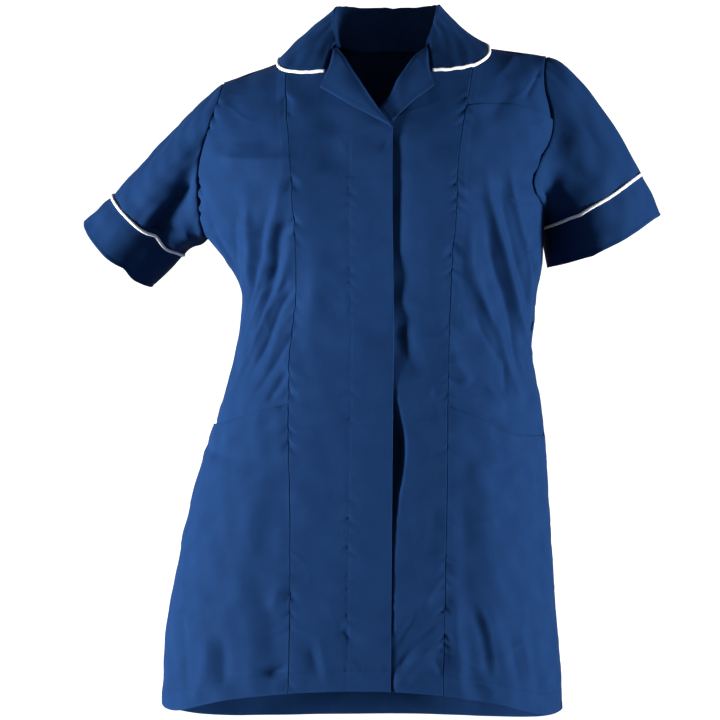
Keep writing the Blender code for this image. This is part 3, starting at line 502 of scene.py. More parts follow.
def navy_polycotton():
    made, tree, shader = new_material("navy_polycotton_plain_weave")
    place = add_node(tree, "ShaderNodeTexCoord").outputs["UV"]
    parts = add_node(tree, "ShaderNodeSeparateXYZ", [(0, place)])
    turns = 2 * math.pi / THREAD_SPACING
    threads = []
    for axis in ("X", "Y"):
        run = add_node(tree, "ShaderNodeMath", [(0, parts.outputs[axis]), (1, turns)], operation="MULTIPLY")
        threads.append(add_node(tree, "ShaderNodeMath", [(0, run.outputs[0])], operation="SINE").outputs[0])
    weave = add_node(tree, "ShaderNodeMath", [(0, threads[0]), (1, threads[1])], operation="MULTIPLY")
    warp_place = add_node(tree, "ShaderNodeMapping", [("Vector", place), ("Scale", (700.0, 45.0, 1.0))])
    slub = add_node(tree, "ShaderNodeTexNoise",
                    [("Vector", warp_place.outputs[0]), ("Scale", 1.0), ("Detail", 3.0)])
    dye = add_node(tree, "ShaderNodeTexNoise", [("Vector", place), ("Scale", 42.0), ("Detail", 4.0)])
    mixed = add_node(tree, "ShaderNodeMath", [(0, slub.outputs[0]), (1, 0.45), (2, dye.outputs[0])],
                     operation="MULTIPLY_ADD")
    tone = add_node(tree, "ShaderNodeMapRange",
                    [("Value", mixed.outputs[0]), ("From Min", 0.45), ("From Max", 1.0)])
    colour = add_node(tree, "ShaderNodeMix",
                      [(0, tone.outputs[0]), (6, to_linear(NAVY_DEEP)), (7, to_linear(NAVY_FADED))],
                      data_type="RGBA")
    rubbed = add_node(tree, "ShaderNodeAttribute", attribute_name="wear")
    patchy = add_node(tree, "ShaderNodeTexNoise", [("Vector", place), ("Scale", 260.0), ("Detail", 2.0)])
    wear = add_node(tree, "ShaderNodeMath",
                    [(0, rubbed.outputs["Fac"]), (1, patchy.outputs[0])], operation="MULTIPLY")
    worn = add_node(tree, "ShaderNodeMix",
                    [(0, wear.outputs[0]), (6, colour.outputs[2]), (7, to_linear(NAVY_WORN))],
                    data_type="RGBA")
    tree.links.new(worn.outputs[2], shader.inputs["Base Color"])
    rough = add_node(tree, "ShaderNodeMapRange",
                     [("Value", dye.outputs[0]), ("To Min", 0.66), ("To Max", 0.84)])
    tree.links.new(rough.outputs[0], shader.inputs["Roughness"])
    fine = add_node(tree, "ShaderNodeBump",
                    [("Height", weave.outputs[0]), ("Strength", 0.35), ("Distance", 0.00007)])
    coarse = add_node(tree, "ShaderNodeBump",
                      [("Height", slub.outputs[0]), ("Strength", 0.4), ("Distance", 0.00016),
                       ("Normal", fine.outputs[0])])
    tree.links.new(coarse.outputs[0], shader.inputs["Normal"])
    shader.inputs["Specular IOR Level"].default_value = 0.015
    shader.inputs["Sheen Weight"].default_value = 0.012
    shader.inputs["Sheen Roughness"].default_value = 0.32
    shader.inputs["Sheen Tint"].default_value = to_linear("#a9c3f0")
    return made


NAVY = navy_polycotton()


def placed(piece, slot, *nodes):
    """Rides the piece on the tunic's only body and hides the solids it stands for."""
    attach(piece, "root")
    if nodes:
        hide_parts(*nodes)
    return piece


def hem_relief(up):
    """The doubled hem: a little proud, with a pressed-in line where it is stitched."""
    proud = 0.0003 * ease((HEM_WIDTH + 0.0012 - up) / 0.0016)
    return proud - 0.0003 * bell(up - HEM_WIDTH + STITCH_INSET, 0.0011)


# Lockstitching in navy polyester thread, 2.6 mm to the stitch, sunk a little into the cloth.
STITCH = 0.0026
STITCH_GAP = 0.0008
THREAD_RADIUS = 0.00026


def navy_thread():
    made, tree, shader = new_material("navy_polyester_thread")
    place = add_node(tree, "ShaderNodeTexCoord").outputs["Object"]
    twist = add_node(tree, "ShaderNodeTexNoise", [("Vector", place), ("Scale", 900.0), ("Detail", 1.0)])
    tone = add_node(tree, "ShaderNodeMix",
                    [(0, twist.outputs[0]), (6, to_linear("#081a36")), (7, to_linear("#0f2a50"))],
                    data_type="RGBA")
    tree.links.new(tone.outputs[2], shader.inputs["Base Color"])
    shader.inputs["Roughness"].default_value = 0.9
    shader.inputs["Specular IOR Level"].default_value = 0.03
    return made


THREAD = navy_thread()


def stitching(name, lines):
    """Separate short stitches along the lines; a line is its points and the cloth's outward directions."""
    sides, rings = 6, 5
    ring_turn = np.linspace(0, 2 * math.pi, sides, endpoint=False)
    spots, faces = [], []
    for points, out in lines:
        run = np.concatenate([[0.0], np.cumsum(np.linalg.norm(np.diff(points, axis=0), axis=1))])
        pitch = STITCH + STITCH_GAP
        for k in range(int(run[-1] / pitch)):
            at = k * pitch + STITCH_GAP / 2 + np.linspace(0, STITCH, rings)
            middle = np.stack([np.interp(at, run, points[:, j]) for j in range(3)], axis=-1)
            up = unit(np.stack([np.interp(at, run, out[:, j]) for j in range(3)], axis=-1))
            ahead = unit(np.gradient(middle, axis=0))
            aside = unit(np.cross(ahead, up))
            bow = np.sin(np.linspace(0, math.pi, rings))
            thick = THREAD_RADIUS * (0.35 + 0.65 * np.sqrt(bow))[:, None, None]
            centre = middle + up * (THREAD_RADIUS * (1.2 * bow - 1.0))[:, None]
            around = (aside[:, None] * np.cos(ring_turn)[None, :, None]
                      + up[:, None] * np.sin(ring_turn)[None, :, None])
            first = len(spots)
            spots.extend((centre[:, None] + around * thick).reshape(-1, 3).tolist())
            for r in range(rings - 1):
                for s in range(sides):
                    a, b = first + r * sides + s, first + r * sides + (s + 1) % sides
                    faces.append((a, b, b + sides, a + sides))
            faces.append(tuple(range(first + sides - 1, first - 1, -1)))
            last = first + (rings - 1) * sides
            faces.append(tuple(range(last, last + sides)))
    return placed(made_of(name, spots, faces, THREAD), "navy_cloth")


def line_beside(points, out, away, axis, from_end=False, part=(0.0, 1.0)):
    """The line on a grid that keeps this distance from its first or last row (axis 0) or column (1)."""
    run = distance_in(points, axis, from_end)
    if axis == 0:
        run, points, out = run.T, points.swapaxes(0, 1), out.swapaxes(0, 1)
    if from_end:
        run, points, out = run[:, ::-1], points[:, ::-1], out[:, ::-1]
    places, ways = [], []
    for r in range(int(part[0] * (len(points) - 1)), int(part[1] * (len(points) - 1)) + 1):
        places.append([np.interp(away, run[r], points[r, :, k]) for k in range(3)])
        ways.append([np.interp(away, run[r], out[r, :, k]) for k in range(3)])
    return np.array(places), unit(ways)


def neckline_level(x):
    """Level of the back neckline, an ellipse in plan, over x."""
    y = NECK_BACK * np.sqrt(np.clip(1 - (x / NECK_HALF) ** 2, 0.0, 1.0))
    return level_at(x, height_over(x, y), back=True)


def back_depth(angle, points):
    """Folds and darts of the back."""
    depth = fold_depth(angle, points[..., 2], BACK_FOLDS, True)
    for dart_x, top, bottom, pull in BACK_DARTS:
        along_dart = ease((points[..., 2] - bottom) / 0.09) * ease((top - points[..., 2]) / 0.09)
        depth = depth - pull * along_dart * np.exp(-np.abs(points[..., 0] - dart_x) / 0.010)
        depth = depth - 0.0009 * along_dart * bell(points[..., 0] - dart_x, 0.0012)
    return depth


left, right = side_edge(1, True), side_edge(-1, True)
neck_x = NECK_HALF * np.cos(np.linspace(0, math.pi, 41))
neck_angle = angle_at(neck_x, RISE, back=True)
span = right(RISE) - left(RISE)
neck = (neck_angle - left(RISE)) / span
shoulder_left = neck[0] * shares_for(0.12, None, True, False)
shoulder_right = 1 - (1 - neck[-1]) * shares_for(0.12, None, True, False)[::-1]
stations = np.concatenate([shoulder_left[:-1], neck, shoulder_right[1:]])
at_hem = across_panel(left, right, -0.60, stations)
top_x = form(left(RISE) + span * stations, RISE)[..., 0]
top = np.where(np.abs(top_x) < NECK_HALF - 1e-6, neckline_level(top_x), RISE)
level = rows_through(
    blend(BACK_HEM, 1, at_hem) - CHEST,
    UNDERARM["left"] + (UNDERARM["right"] - UNDERARM["left"]) * stations,
    top,
)
angle = across_panel(left, right, level, stations)
points = form(angle, level)
out = form_out(angle, level)
from_left, from_right, from_hem, from_top = edge_distances(points)
depth = back_depth(angle, points)
depth += 0.00045 * rumple(angle * METRES_PER_DEGREE, points[..., 2], 11, 0.045)
depth += 0.00060 * creases(angle * METRES_PER_DEGREE, points[..., 2], 17, 0.080)
depth += 0.00030 * (pucker(from_left, points[..., 2], 12) + pucker(from_right, points[..., 2], 13))
depth += 0.00025 * pucker(from_hem - HEM_WIDTH, points[..., 0], 14)
depth += rounded(np.minimum.reduce([from_left, from_right, from_hem, from_top])) + hem_relief(from_hem)
points = points + out * depth[..., None]
points[..., 1] += 0.0001 * (level > RISE - 1e-6)
out = grid_out(points, out)
wear = bell(from_hem, 0.002) * 0.8
back = placed(shell("back_panel", points, out, NAVY, wear), "navy_cloth", "back")
back_hem_stitching = stitching("back_hem_stitching", [line_beside(points, out, HEM_WIDTH - STITCH_INSET, 0)])


# The side fronts: one panel on each side from the shaped panel seam to the side seam and armhole.
# A hip pocket of the same cloth lies on the lower part of each, caught in both seams and the hem,
# with a slanted mouth. The left one ends at a chest pocket's mouth, with the pocket's back behind.

BUST_X = 0.086
BUST_HEIGHT = -0.185
BUST_SPREAD_X = 0.048
BUST_SPREAD_Z = 0.060
BUST_FULLNESS = 0.010
# level, distance of the panel seam from the centre on the right, on the left
PANEL_SEAMS = (
    (-0.600, 0.0905, 0.0738),
    (-0.450, 0.0888, 0.0757),
    (-0.350, 0.0900, 0.0771),
    (-0.240, 0.0939, 0.0771),
    (-0.185, 0.0929, 0.0774),
    (-0.135, 0.0868, 0.0790),
    (-0.083, 0.0832, 0.0815),
    (-0.040, 0.0838, 0.0845),
    (0.000, 0.0870, 0.0870),
    (0.057, 0.0970, 0.0960),
    (0.120, 0.1035, 0.1010),
    (0.185, 0.1080, 0.1030),
)
FLY = 0.020
BREAK_LEVEL = 0.027
# level, distance of the front's edge past the centre on the right, on the left
NECK_EDGE = (
    (0.0270, 0.0198, 0.0198),
    (0.0393, 0.0040, -0.0030),
    (0.0703, -0.0220, -0.0250),
    (0.1000, -0.0365, -0.0375),
    (0.1295, -0.0478, -0.0480),
    (0.1850, -0.0580, -0.0580),
)
BREAK_LIFT = 0.006
BREAK_LIFT_WIDTH = 0.070
NEAR_HEM = -0.57
FRONT_HEM = (
    (-180.0, -0.7290), (-150.0, -0.7290), (-125.0, -0.7110), (-90.0, -0.6980),
    (-55.0, -0.7100), (-30.0, -0.7270), (0.0, -0.7290),
)
# distance from the centre, height of the hip pocket's mouth
HIP_MOUTH = {
    "right": ((0.080, -0.3925), (0.132, -0.4055), (0.175, -0.4190), (0.215, -0.4230)),
    "left": ((0.070, -0.3940), (0.115, -0.4130), (0.140, -0.4270), (0.180, -0.4330)),
}
# distance from the centre, level of the chest pocket's mouth
CHEST_MOUTH = ((0.094, 0.0535), (0.120, 0.0610), (0.150, 0.0625), (0.172, 0.0590), (0.186, 0.0490))
# half width, depth, crispness, then points x, height along the fold
FRONT_FOLDS = (
    (0.0053, -0.0049, 1.6, (-0.108, -0.186), (-0.124, -0.237), (-0.143, -0.281), (-0.151, -0.309)),
    (0.0056, -0.0052, 1.6, (-0.088, -0.197), (-0.109, -0.250), (-0.126, -0.294), (-0.143, -0.335)),
    (0.0046, -0.0034, 1.5, (-0.086, -0.271), (-0.104, -0.293), (-0.129, -0.345), (-0.141, -0.366)),
    (0.0050, -0.0030, 1.6, (-0.096, -0.360), (-0.106, -0.376), (-0.118, -0.394)),
    (0.0056, 0.0035, 1.8, (-0.092, -0.140), (-0.103, -0.190), (-0.119, -0.231), (-0.153, -0.311)),
    (0.0056, 0.0035, 1.8, (-0.083, -0.208), (-0.095, -0.246), (-0.124, -0.306), (-0.166, -0.389)),
    (0.0063, 0.0044, 1.8, (-0.136, -0.180), (-0.138, -0.222), (-0.144, -0.266)),
    (0.0073, 0.0027, 1.9, (-0.104, -0.312), (-0.114, -0.340), (-0.127, -0.368)),
    (0.0073, -0.0035, 1.8, (-0.186, -0.196), (-0.174, -0.230), (-0.160, -0.262)),
    (0.0110, 0.0058, 1.0, (-0.172, -0.132), (-0.130, -0.137), (-0.086, -0.136)),
    (0.0030, -0.0022, 1.3, (0.017, -0.114), (0.012, -0.120), (0.008, -0.128)),
    (0.0100, -0.0014, 1.5, (-0.178, -0.116), (-0.140, -0.118), (-0.104, -0.120)),
    (0.0145, -0.0020, 1.8, (-0.108, -0.496), (-0.122, -0.548), (-0.144, -0.588)),
    (0.0093, 0.0021, 1.8, (-0.134, -0.618), (-0.130, -0.660), (-0.127, -0.705)),
    (0.0081, -0.0020, 1.7, (-0.116, -0.596), (-0.110, -0.640), (-0.110, -0.705)),
    (0.0076, -0.0022, 1.7, (-0.213, -0.620), (-0.209, -0.668), (-0.206, -0.715)),
    (0.0076, 0.0018, 1.8, (-0.184, -0.650), (-0.188, -0.685), (-0.197, -0.720)),
    (0.0085, -0.0024, 1.7, (-0.164, -0.640), (-0.163, -0.665), (-0.166, -0.700)),
    (0.0050, -0.0024, 1.4, (-0.110, -0.686), (-0.102, -0.678), (-0.093, -0.674)),
    (0.0070, 0.0030, 1.7, (-0.108, -0.616), (-0.100, -0.596), (-0.092, -0.576)),
    (0.0060, -0.0014, 1.5, (-0.064, -0.650), (-0.066, -0.672), (-0.068, -0.700)),
    (0.0050, -0.0009, 1.5, (-0.062, -0.660), (-0.058, -0.680), (-0.054, -0.698)),
    (0.0080, -0.0018, 1.6, (-0.046, -0.622), (-0.030, -0.640), (-0.012, -0.660)),
    (0.0080, 0.0015, 1.7, (-0.052, -0.600), (-0.034, -0.622), (-0.016, -0.640)),
    (0.0060, -0.0060, 1.5, (0.116, -0.206), (0.124, -0.247), (0.136, -0.284), (0.143, -0.315), (0.155, -0.376)),
    (0.0050, -0.0040, 1.5, (0.132, -0.166), (0.139, -0.212), (0.149, -0.252), (0.157, -0.290)),
    (0.0056, 0.0067, 1.8, (0.117, -0.160), (0.123, -0.198), (0.134, -0.236), (0.146, -0.291), (0.160, -0.352)),
    (0.0050, 0.0053, 1.8, (0.141, -0.150), (0.149, -0.203), (0.158, -0.298)),
    (0.0063, 0.0039, 1.8, (0.099, -0.205), (0.101, -0.253), (0.116, -0.295), (0.130, -0.326), (0.149, -0.388)),
    (0.0050, -0.0039, 1.4, (0.157, -0.228), (0.162, -0.246), (0.166, -0.262)),
    (0.0070, 0.0030, 1.7, (0.080, -0.348), (0.089, -0.360), (0.100, -0.374)),
    (0.0043, 0.0017, 1.6, (0.118, -0.378), (0.127, -0.390), (0.136, -0.400)),
    (0.0043, -0.0021, 1.5, (0.134, -0.350), (0.135, -0.366), (0.137, -0.386)),
    (0.0130, -0.0046, 1.7, (0.020, -0.312), (0.030, -0.336), (0.044, -0.366)),
    (0.0045, -0.0012, 1.4, (0.060, -0.384), (0.068, -0.385), (0.078, -0.387)),
    (0.0090, -0.0024, 1.8, (0.066, -0.505), (0.064, -0.530), (0.060, -0.558)),
    (0.0070, 0.0040, 1.6, (0.022, -0.640), (0.044, -0.616), (0.070, -0.582)),
    (0.0060, -0.0036, 1.5, (0.024, -0.652), (0.038, -0.628), (0.052, -0.606)),
    (0.0065, -0.0036, 1.5, (0.022, -0.682), (0.040, -0.654), (0.073, -0.621)),
    (0.0065, 0.0040, 1.6, (0.026, -0.692), (0.044, -0.668), (0.062, -0.652)),
    (0.0050, -0.0022, 1.4, (0.064, -0.662), (0.069, -0.672), (0.073, -0.680)),
    (0.0136, 0.0024, 1.9, (0.106, -0.440), (0.118, -0.520), (0.128, -0.600)),
    (0.0110, -0.0017, 1.8, (0.090, -0.470), (0.096, -0.560), (0.098, -0.640)),
    (0.0102, 0.0025, 1.8, (0.118, -0.600), (0.134, -0.660), (0.146, -0.722)),
    (0.0085, -0.0023, 1.7, (0.101, -0.640), (0.104, -0.680), (0.116, -0.720)),
    (0.0093, -0.0023, 1.7, (0.160, -0.606), (0.166, -0.660), (0.171, -0.725)),
    (0.0070, 0.0040, 1.7, (0.086, -0.600), (0.088, -0.650), (0.093, -0.704)),
    (0.0100, -0.0022, 1.7, (0.148, -0.050), (0.136, -0.070), (0.120, -0.090)),
    (0.0120, -0.0039, 1.9, (-0.040, -0.085), (-0.046, -0.116), (-0.050, -0.150)),
    (0.0120, 0.0030, 1.9, (-0.060, -0.240), (-0.066, -0.280), (-0.070, -0.320)),
    (0.0140, 0.0026, 1.9, (0.052, -0.200), (0.058, -0.250), (0.060, -0.300)),
    (0.0040, -0.0020, 1.4, (0.170, -0.036), (0.165, -0.050), (0.158, -0.068)),
    (0.0060, 0.0012, 1.6, (0.142, -0.014), (0.136, -0.032), (0.122, -0.050)),
    (0.0040, -0.0022, 1.4, (-0.098, -0.232), (-0.116, -0.262), (-0.128, -0.276)),
    (0.0040, 0.0020, 1.4, (-0.120, -0.262), (-0.138, -0.300), (-0.152, -0.330)),
    (0.0040, -0.0020, 1.4, (-0.136, -0.322), (-0.148, -0.350), (-0.162, -0.372)),
    (0.0045, -0.0026, 1.4, (-0.150, -0.196), (-0.156, -0.232), (-0.160, -0.270)),
    (0.0040, 0.0018, 1.4, (0.108, -0.240), (0.112, -0.280), (0.122, -0.312)),
    (0.0040, -0.0020, 1.4, (0.104, -0.300), (0.118, -0.330), (0.132, -0.352)),
    (0.0045, -0.0029, 1.4, (0.150, -0.300), (0.156, -0.336), (0.162, -0.366)),
    (0.0060, -0.0018, 1.5, (-0.200, -0.440), (-0.178, -0.452), (-0.150, -0.456)),
    (0.0060, -0.0016, 1.5, (0.164, -0.450), (0.140, -0.462), (0.112, -0.470)),
    (0.0150, 0.0030, 1.9, (-0.122, -0.480), (-0.132, -0.545), (-0.143, -0.617)),
    (0.0100, -0.0016, 1.7, (-0.090, -0.560), (-0.098, -0.620), (-0.100, -0.690)),
    (0.0030, -0.0018, 1.3, (-0.116, -0.683), (-0.107, -0.679), (-0.096, -0.681)),
    (0.0030, 0.0016, 1.3, (-0.120, -0.676), (-0.110, -0.671), (-0.098, -0.672)),
    (0.0070, -0.0012, 1.5, (-0.199, -0.655), (-0.196, -0.675), (-0.198, -0.700)),
    (0.0060, -0.0011, 1.5, (-0.166, -0.652), (-0.163, -0.676), (-0.164, -0.698)),
    (0.0060, 0.0010, 1.5, (-0.182, -0.640), (-0.180, -0.672), (-0.184, -0.705)),
    (0.0050, -0.0011, 1.4, (-0.068, -0.652), (-0.062, -0.668), (-0.058, -0.690)),
    (0.0040, 0.0018, 1.4, (-0.056, -0.640), (-0.052, -0.664), (-0.046, -0.688)),
    (0.0032, -0.0010, 1.3, (-0.040, -0.615), (-0.032, -0.632), (-0.022, -0.650)),
    (0.0032, 0.0009, 1.3, (-0.046, -0.612), (-0.038, -0.634), (-0.028, -0.654)),
    (0.0028, -0.0016, 1.3, (-0.036, -0.636), (-0.026, -0.641), (-0.014, -0.642)),
    (0.0028, -0.0014, 1.3, (-0.034, -0.656), (-0.022, -0.662), (-0.010, -0.668)),
    (0.0035, -0.0018, 1.3, (0.083, -0.668), (0.092, -0.680), (0.104, -0.686)),
    (0.0035, 0.0016, 1.3, (0.086, -0.656), (0.098, -0.668), (0.112, -0.676)),
    (0.0040, -0.0022, 1.4, (0.104, -0.612), (0.114, -0.644), (0.120, -0.684)),
    (0.0034, 0.0020, 1.4, (0.111, -0.608), (0.121, -0.640), (0.127, -0.684)),
    (0.0050, -0.0020, 1.4, (0.142, -0.640), (0.146, -0.664), (0.152, -0.694)),
    (0.0045, 0.0018, 1.4, (0.152, -0.630), (0.157, -0.660), (0.163, -0.694)),
    (0.0030, -0.0016, 1.3, (-0.094, -0.262), (-0.104, -0.276), (-0.114, -0.284)),
    (0.0030, -0.0016, 1.3, (0.078, -0.372), (0.092, -0.377), (0.104, -0.376)),
    (0.0034, 0.0014, 1.4, (0.080, -0.384), (0.096, -0.390), (0.112, -0.391)),
    (0.0040, -0.0022, 1.4, (-0.088, -0.318), (-0.108, -0.350), (-0.136, -0.388)),
    (0.0050, 0.0024, 1.6, (-0.112, -0.270), (-0.136, -0.320), (-0.160, -0.372)),
)


def neck_edge(side, level):
    """Signed distance of a front's edge past the centre at this level; side is -1 on the right."""
    column = np.where(side < 0, blend(NECK_EDGE, 1, level), blend(NECK_EDGE, 2, level))
    return np.where(level < BREAK_LEVEL, FLY, column)


def front_relief(angle, level, points):
    """Fullness over the bust, with the front's folds."""
    x, height = points[..., 0], points[..., 2]
    bust = np.exp(-((np.abs(x) - BUST_X) / BUST_SPREAD_X) ** 2 - ((height - BUST_HEIGHT) / BUST_SPREAD_Z) ** 2)
    return BUST_FULLNESS * bust + fold_depth(angle, height, FRONT_FOLDS, False)


def break_lift(points, level):
    """How far the cloth stands off towards the front where the lapel turns back."""
    x = points[..., 0]
    past = np.clip(np.abs(x) + neck_edge(np.sign(x), level), 0.0, BREAK_LIFT_WIDTH) / BREAK_LIFT_WIDTH
    return BREAK_LIFT * ease((level - 0.045) / 0.06) * ease((RISE - level) / 0.04) * (1 - past) ** 2


def panel_seam(side, towards):
    """Angle of the front panel seam, just to the given side of it."""
    def edge(level):
        x = blend(PANEL_SEAMS, 1 if side < 0 else 2, level)
        return angle_at(side * x, level) + towards * HALF_SEAM_DEGREES
    return edge


def front_cloth(angle, level, relief=0.0):
    """Points of a front's face, with its folds and any relief added, and its outward directions."""
    smooth = form(angle, level)
    out = form_out(angle, level)
    depth = front_relief(angle, level, smooth) + relief
    depth = depth + 0.00042 * rumple(angle * METRES_PER_DEGREE, smooth[..., 2], 21, 0.040)
    near_hem = 1 + 1.2 * ease((-0.585 - smooth[..., 2]) / 0.07)
    depth = depth + 0.0005 * near_hem * creases(angle * METRES_PER_DEGREE, smooth[..., 2], 24, 0.075)
    points = smooth + out * depth[..., None]
    points[..., 1] -= break_lift(smooth, level)
    points[..., 1] -= 0.0001 * (level > RISE - 1e-6)
    return points, grid_out(points, out)


def hip_level(side, x):
    return blend(HIP_MOUTH[name_of(side)], 1, np.abs(x)) - CHEST


def panel_grid(first, last, level, shares):
    """Angles, smooth points and edge distances of a panel that lies between two edges."""
    angle = across_panel(first, last, level, shares)
    smooth = form(angle, level)
    return angle, smooth, edge_distances(smooth)


def hem_level(first, last, shares):
    return blend(FRONT_HEM, 1, across_panel(first, last, NEAR_HEM, shares)) - CHEST


def x_across(first, last, shares, level):
    return form(across_panel(first, last, level, shares), level)[..., 0]


def seam_relief(from_seam, height, seed, strip=0.0003, turn=0.0):
    """A seam pressed to this side: a low strip 11 mm wide, gathered a little, and the panel's turn there."""
    reach = from_seam / 0.026
    return (strip * ease((0.011 - from_seam) / 0.003) + 0.00130 * pucker(from_seam, height, seed, 0.008)
            - turn * reach * np.exp(1 - reach))


POCKET_EDGE = 0.014
FINE_STEP = 0.0021
PANEL_TURN = 0.0015
for side in (-1, 1):
    side_name = name_of(side)
    edges = [side_edge(side, False), panel_seam(side, side)]
    first, last = edges if side < 0 else edges[::-1]
    shares = shares_for(0.150, FINE_STEP)
    hem = hem_level(first, last, shares)
    mouth = hip_level(side, x_across(first, last, shares, -0.26))
    chest = blend(CHEST_MOUTH, 1, np.abs(x_across(first, last, shares, 0.055)))
    top = chest if side > 0 else np.full_like(shares, RISE)

    level = rows_through(hem, np.full_like(shares, UNDERARM[side_name]), top, step=FINE_STEP)
    angle, smooth, (from_first, from_last, from_hem, from_top) = panel_grid(first, last, level, shares)
    from_panel_seam = from_last if side < 0 else from_first
    from_side = from_first if side < 0 else from_last
    from_edges = np.minimum(from_first, from_last)
    under_pocket = ease((mouth[None, :] + 0.012 - level) / 0.02)
    relief = seam_relief(from_panel_seam, smooth[..., 2], 31 + side, turn=PANEL_TURN)
    relief = relief + seam_relief(from_side, smooth[..., 2], 33 + side, 0.0)
    relief = relief + rounded(np.minimum.reduce([from_first, from_last, from_hem, from_top]))
    relief = relief - LAYER * (1 - ease(from_edges / POCKET_EDGE)) * under_pocket
    relief = relief - 0.0010 * bell(level - mouth[None, :] - 0.0015, 0.0022)
    wear = None
    if side > 0:
        relief = relief + 0.0005 * ease((0.016 - from_top) / 0.010)
        relief = relief + 0.0003 * pucker(from_top - 0.002, smooth[..., 0], 36)
        wear = 0.1 * bell(from_top, 0.0016)
    points, out = front_cloth(angle, level, relief)
    panel = placed(shell("side_front_" + side_name + "_panel", points, out, NAVY, wear),
                   "navy_cloth", "side_front_" + side_name)
    if side > 0:
        lines = [line_beside(points, out, 0.0020, 0, True)]
        chest_stitching = stitching("chest_pocket_mouth_stitching", lines)

    low = rows_through(hem, mouth, step=FINE_STEP)
    angle, smooth, (from_first, from_last, from_hem, from_top) = panel_grid(first, last, low, shares)
    from_panel_seam = from_last if side < 0 else from_first
    from_edges = np.minimum(from_first, from_last)
    relief = LAYER * ease(from_edges / POCKET_EDGE) + hem_relief(from_hem)
    relief = relief + seam_relief(from_panel_seam, smooth[..., 2], 31 + side, turn=PANEL_TURN)
    relief = relief + rounded(np.minimum.reduce([from_first, from_last, from_hem, from_top]))
    relief = relief + 0.0008 * ease(1 - from_top / 0.03) * ease(from_edges / 0.02)
    relief = relief - 0.0004 * bell(from_top - 0.0018, 0.0008)
    relief = relief - 0.0012 * bell(from_top, 0.004) * ease(1 - from_panel_seam / 0.03)
    relief = relief + 0.00030 * pucker(from_top - 0.004, smooth[..., 0], 43 + side)
    relief = relief + 0.00030 * pucker(from_hem - HEM_WIDTH, smooth[..., 0], 45 + side)
    points, out = front_cloth(angle, low, relief)
    wear = 0.1 * bell(from_top, 0.0016) + 0.3 * bell(from_hem, 0.002)
    pocket = placed(shell("hip_pocket_" + side_name + "_panel", points, out, NAVY, wear),
                    "navy_cloth", "hip_pocket_" + side_name)
    lines = [line_beside(points, out, 0.0018, 0, True)]
    lines.append(line_beside(points, out, HEM_WIDTH - STITCH_INSET, 0))
    pocket_stitching = stitching("hip_pocket_" + side_name + "_stitching", lines)

    if side > 0:
        behind = rows_through(chest - 0.030, np.full_like(shares, RISE), step=FINE_STEP)
        angle, smooth, (from_first, from_last, _, from_top) = panel_grid(first, last, behind, shares)
        sunk = (LAYER + 0.0006) * ease(1 - (behind - chest) / 0.05)
        relief = rounded(np.minimum.reduce([from_first, from_last, from_top])) - sunk
        relief = relief + seam_relief(from_first, smooth[..., 2], 31 + side, turn=PANEL_TURN)
        points, out = front_cloth(angle, behind, relief)
        yoke = placed(shell("chest_pocket_back_panel", points, out, NAVY), "navy_cloth", "chest_pocket_back")


# The centre fronts: the wearer's right one lies over the left with a 40 mm overlap, a stitched fly
# whose buttons stay hidden. Above the break of the edge each follows the line of its lapel.

# height, how far the under front sinks behind the fly, how far out from the centre that shows
FLY_HOLLOW = (
    (-0.700, 0.0016, 0.028), (-0.600, 0.0018, 0.026), (-0.540, 0.0030, 0.027), (-0.500, 0.0060, 0.030),
    (-0.465, 0.0105, 0.035), (-0.435, 0.0125, 0.036), (-0.412, 0.0060, 0.032), (-0.390, 0.0026, 0.028),
    (-0.368, 0.0016, 0.030), (-0.345, 0.0028, 0.044), (-0.315, 0.0036, 0.048), (-0.290, 0.0026, 0.044),
    (-0.268, 0.0036, 0.045), (-0.244, 0.0026, 0.042), (-0.190, 0.0032, 0.043), (-0.100, 0.0022, 0.040),
)
FLY_STITCH = 0.047


def front_edge(side):
    """Angle of a front's centre edge: the fly overlap, then the break line and the neckline."""
    def edge(level):
        return angle_at(-side * neck_edge(side, np.asarray(level, float)), level)
    return edge


